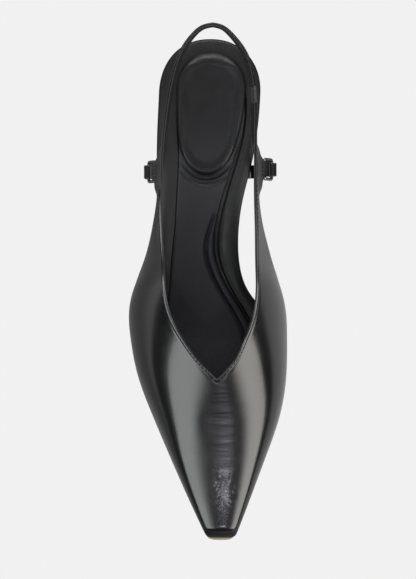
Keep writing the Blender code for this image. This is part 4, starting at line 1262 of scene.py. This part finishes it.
# Flat lamp of even radiance that faces its target; fade gives the shares of its width between which
# it comes up from dark to full, as a softbox with its tube towards one side does
def areaLight(name, place, target, settings):
    width, length = settings["size"]
    light = bpy.data.lights.new(name, "AREA")
    light.shape = "RECTANGLE"
    light.size, light.size_y = width, length
    light.energy = settings["radiance"] * math.pi * width * length  # a Lambert panel of that radiance
    light.color = toLinear(settings["colour"])[:3]
    if "fade" in settings:
        light.use_nodes = True
        tree = light.node_tree
        dark, full = settings["fade"]
        across = addNode(tree, "ShaderNodeSeparateXYZ", None, None,
                         {"Vector": addNode(tree, "ShaderNodeNewGeometry").outputs["Parametric"]})
        ramp = addNode(tree, "ShaderNodeMapRange", {"interpolation_type": "SMOOTHSTEP"},
                       {"From Min": dark, "From Max": full}, {"Value": across.outputs["X"]})
        tree.links.new(ramp.outputs["Result"], tree.nodes["Emission"].inputs["Strength"])
    back = unit(np.array(place) - np.array(target))
    right = unit(np.cross([0, 1, 0], back))
    up = np.cross(back, right)
    turn = np.eye(4)
    turn[:3] = np.stack([right, up, back, place], axis=1)
    addObject(name, light).matrix_world = Matrix(turn.tolist())


# Softbox at an angle from straight up, over the line that crosses the floor ahead of the shoe
def softbox(name, box):
    a = math.radians(box["angle"])
    place = (box["distance"] * math.sin(a), -box["ahead"], box["distance"] * math.cos(a))
    areaLight("softbox_" + name, place, (0, -box["ahead"], studio["aimHeight"]), box)


# Square floor: the camera sees an even pale tone; every other ray sees painted light and shade, a dark
# base tone plus pale and dark spots, which the shoe mirrors as painted reflections
def paleFloor():
    half = studio["floorSize"] / 2
    mesh = bpy.data.meshes.new("floor")
    corners = [(-half, -half, 0), (half, -half, 0), (half, half, 0), (-half, half, 0)]
    mesh.from_pydata(corners, [], [range(4)])
    floor = addObject("floor", mesh)
    material = bpy.data.materials.new("pale_sweep_with_painted_reflections")
    material.use_nodes = True
    tree = material.node_tree
    tree.nodes.clear()
    where = addNode(tree, "ShaderNodeTexCoord").outputs["Object"]
    tone = addNode(tree, "ShaderNodeValue")
    tone.outputs["Value"].default_value = studio["table"]
    # Each spot adds its amount of painted light to the base tone; a negative amount paints shade
    for paintedSpot in studio["paintedSpots"]:
        away = addNode(tree, "ShaderNodeVectorMath", {"operation": "DISTANCE"}, {1: paintedSpot["at"]},
                       {0: where})
        inner, outer = (paintedSpot["radius"] + k * paintedSpot["fade"] for k in (-1, 1))
        paintedTone = addNode(tree, "ShaderNodeMapRange", {"interpolation_type": "SMOOTHSTEP"},
                        {"From Min": inner, "From Max": outer, "To Min": paintedSpot["paintedTone"], "To Max": 0.0},
                        {"Value": away.outputs["Value"]})
        tone = addNode(tree, "ShaderNodeMath", {"operation": "ADD"}, None,
                       {0: tone.outputs["Value"], 1: paintedTone.outputs["Result"]})
    # Floor for reflected rays: the painted light and shade, lit by the lamps
    paintedFloor = addNode(tree, "ShaderNodeBsdfDiffuse", None, None, {"Color": tone.outputs["Value"]})
    glow = addNode(tree, "ShaderNodeEmission", None, {"Color": toLinear(studio["floor"])})
    ray = addNode(tree, "ShaderNodeLightPath")
    seen = addNode(tree, "ShaderNodeMixShader", None, None,
                   {0: ray.outputs["Is Camera Ray"], 1: paintedFloor.outputs[0], 2: glow.outputs[0]})
    addNode(tree, "ShaderNodeOutputMaterial", None, None, {"Surface": seen.outputs[0]})
    mesh.materials.append(material)


# Dim room: dark walls at the horizon, paler overhead and towards the back, by the lean of the view
def dimRoom():
    room = studio["room"]
    world = bpy.data.worlds.new("studio")
    bpy.context.scene.world = world
    world.use_nodes = True
    tree = world.node_tree
    heading = addNode(tree, "ShaderNodeVectorMath", {"operation": "DOT_PRODUCT"}, {1: room["lean"]},
                      {0: addNode(tree, "ShaderNodeTexCoord").outputs["Generated"]})
    walls = addNode(tree, "ShaderNodeMapRange", {"interpolation_type": "SMOOTHSTEP"},
                    {"From Min": room["low"], "From Max": room["high"],
                     "To Min": room["horizon"], "To Max": room["zenith"]},
                    {"Value": heading.outputs["Value"]})
    ray = addNode(tree, "ShaderNodeLightPath")
    tone = addNode(tree, "ShaderNodeMix", {"data_type": "RGBA"}, {mixTo: toLinear(studio["floor"])},
                   {mixShare: ray.outputs["Is Camera Ray"], mixFrom: walls.outputs["Result"]})
    tree.links.new(tone.outputs[mixColour], tree.nodes["Background"].inputs["Color"])


# Camera straight above the shoe with the heel at the top of the frame
view = {"height": 1.40, "frameHeight": 0.298, "sensor": 24.0}


# Focal length from similar triangles: sensor x height / height of the frame on the floor
def overheadCamera():
    lens = bpy.data.cameras.new("camera")
    lens.sensor_fit = "VERTICAL"
    lens.sensor_height = view["sensor"]
    lens.lens = view["sensor"] * view["height"] / view["frameHeight"]
    camera = addObject("camera", lens)
    camera.location = (0, 0, view["height"])
    bpy.context.scene.camera = camera
    bpy.context.scene.view_settings.view_transform = "Standard"


for name, box in studio["softboxes"].items():
    softbox(name, box)
for name, lamp in studio["lamps"].items():
    areaLight(name, lamp["at"], lamp["target"], lamp)
paleFloor()
dimRoom()
overheadCamera()
print("studio ready")
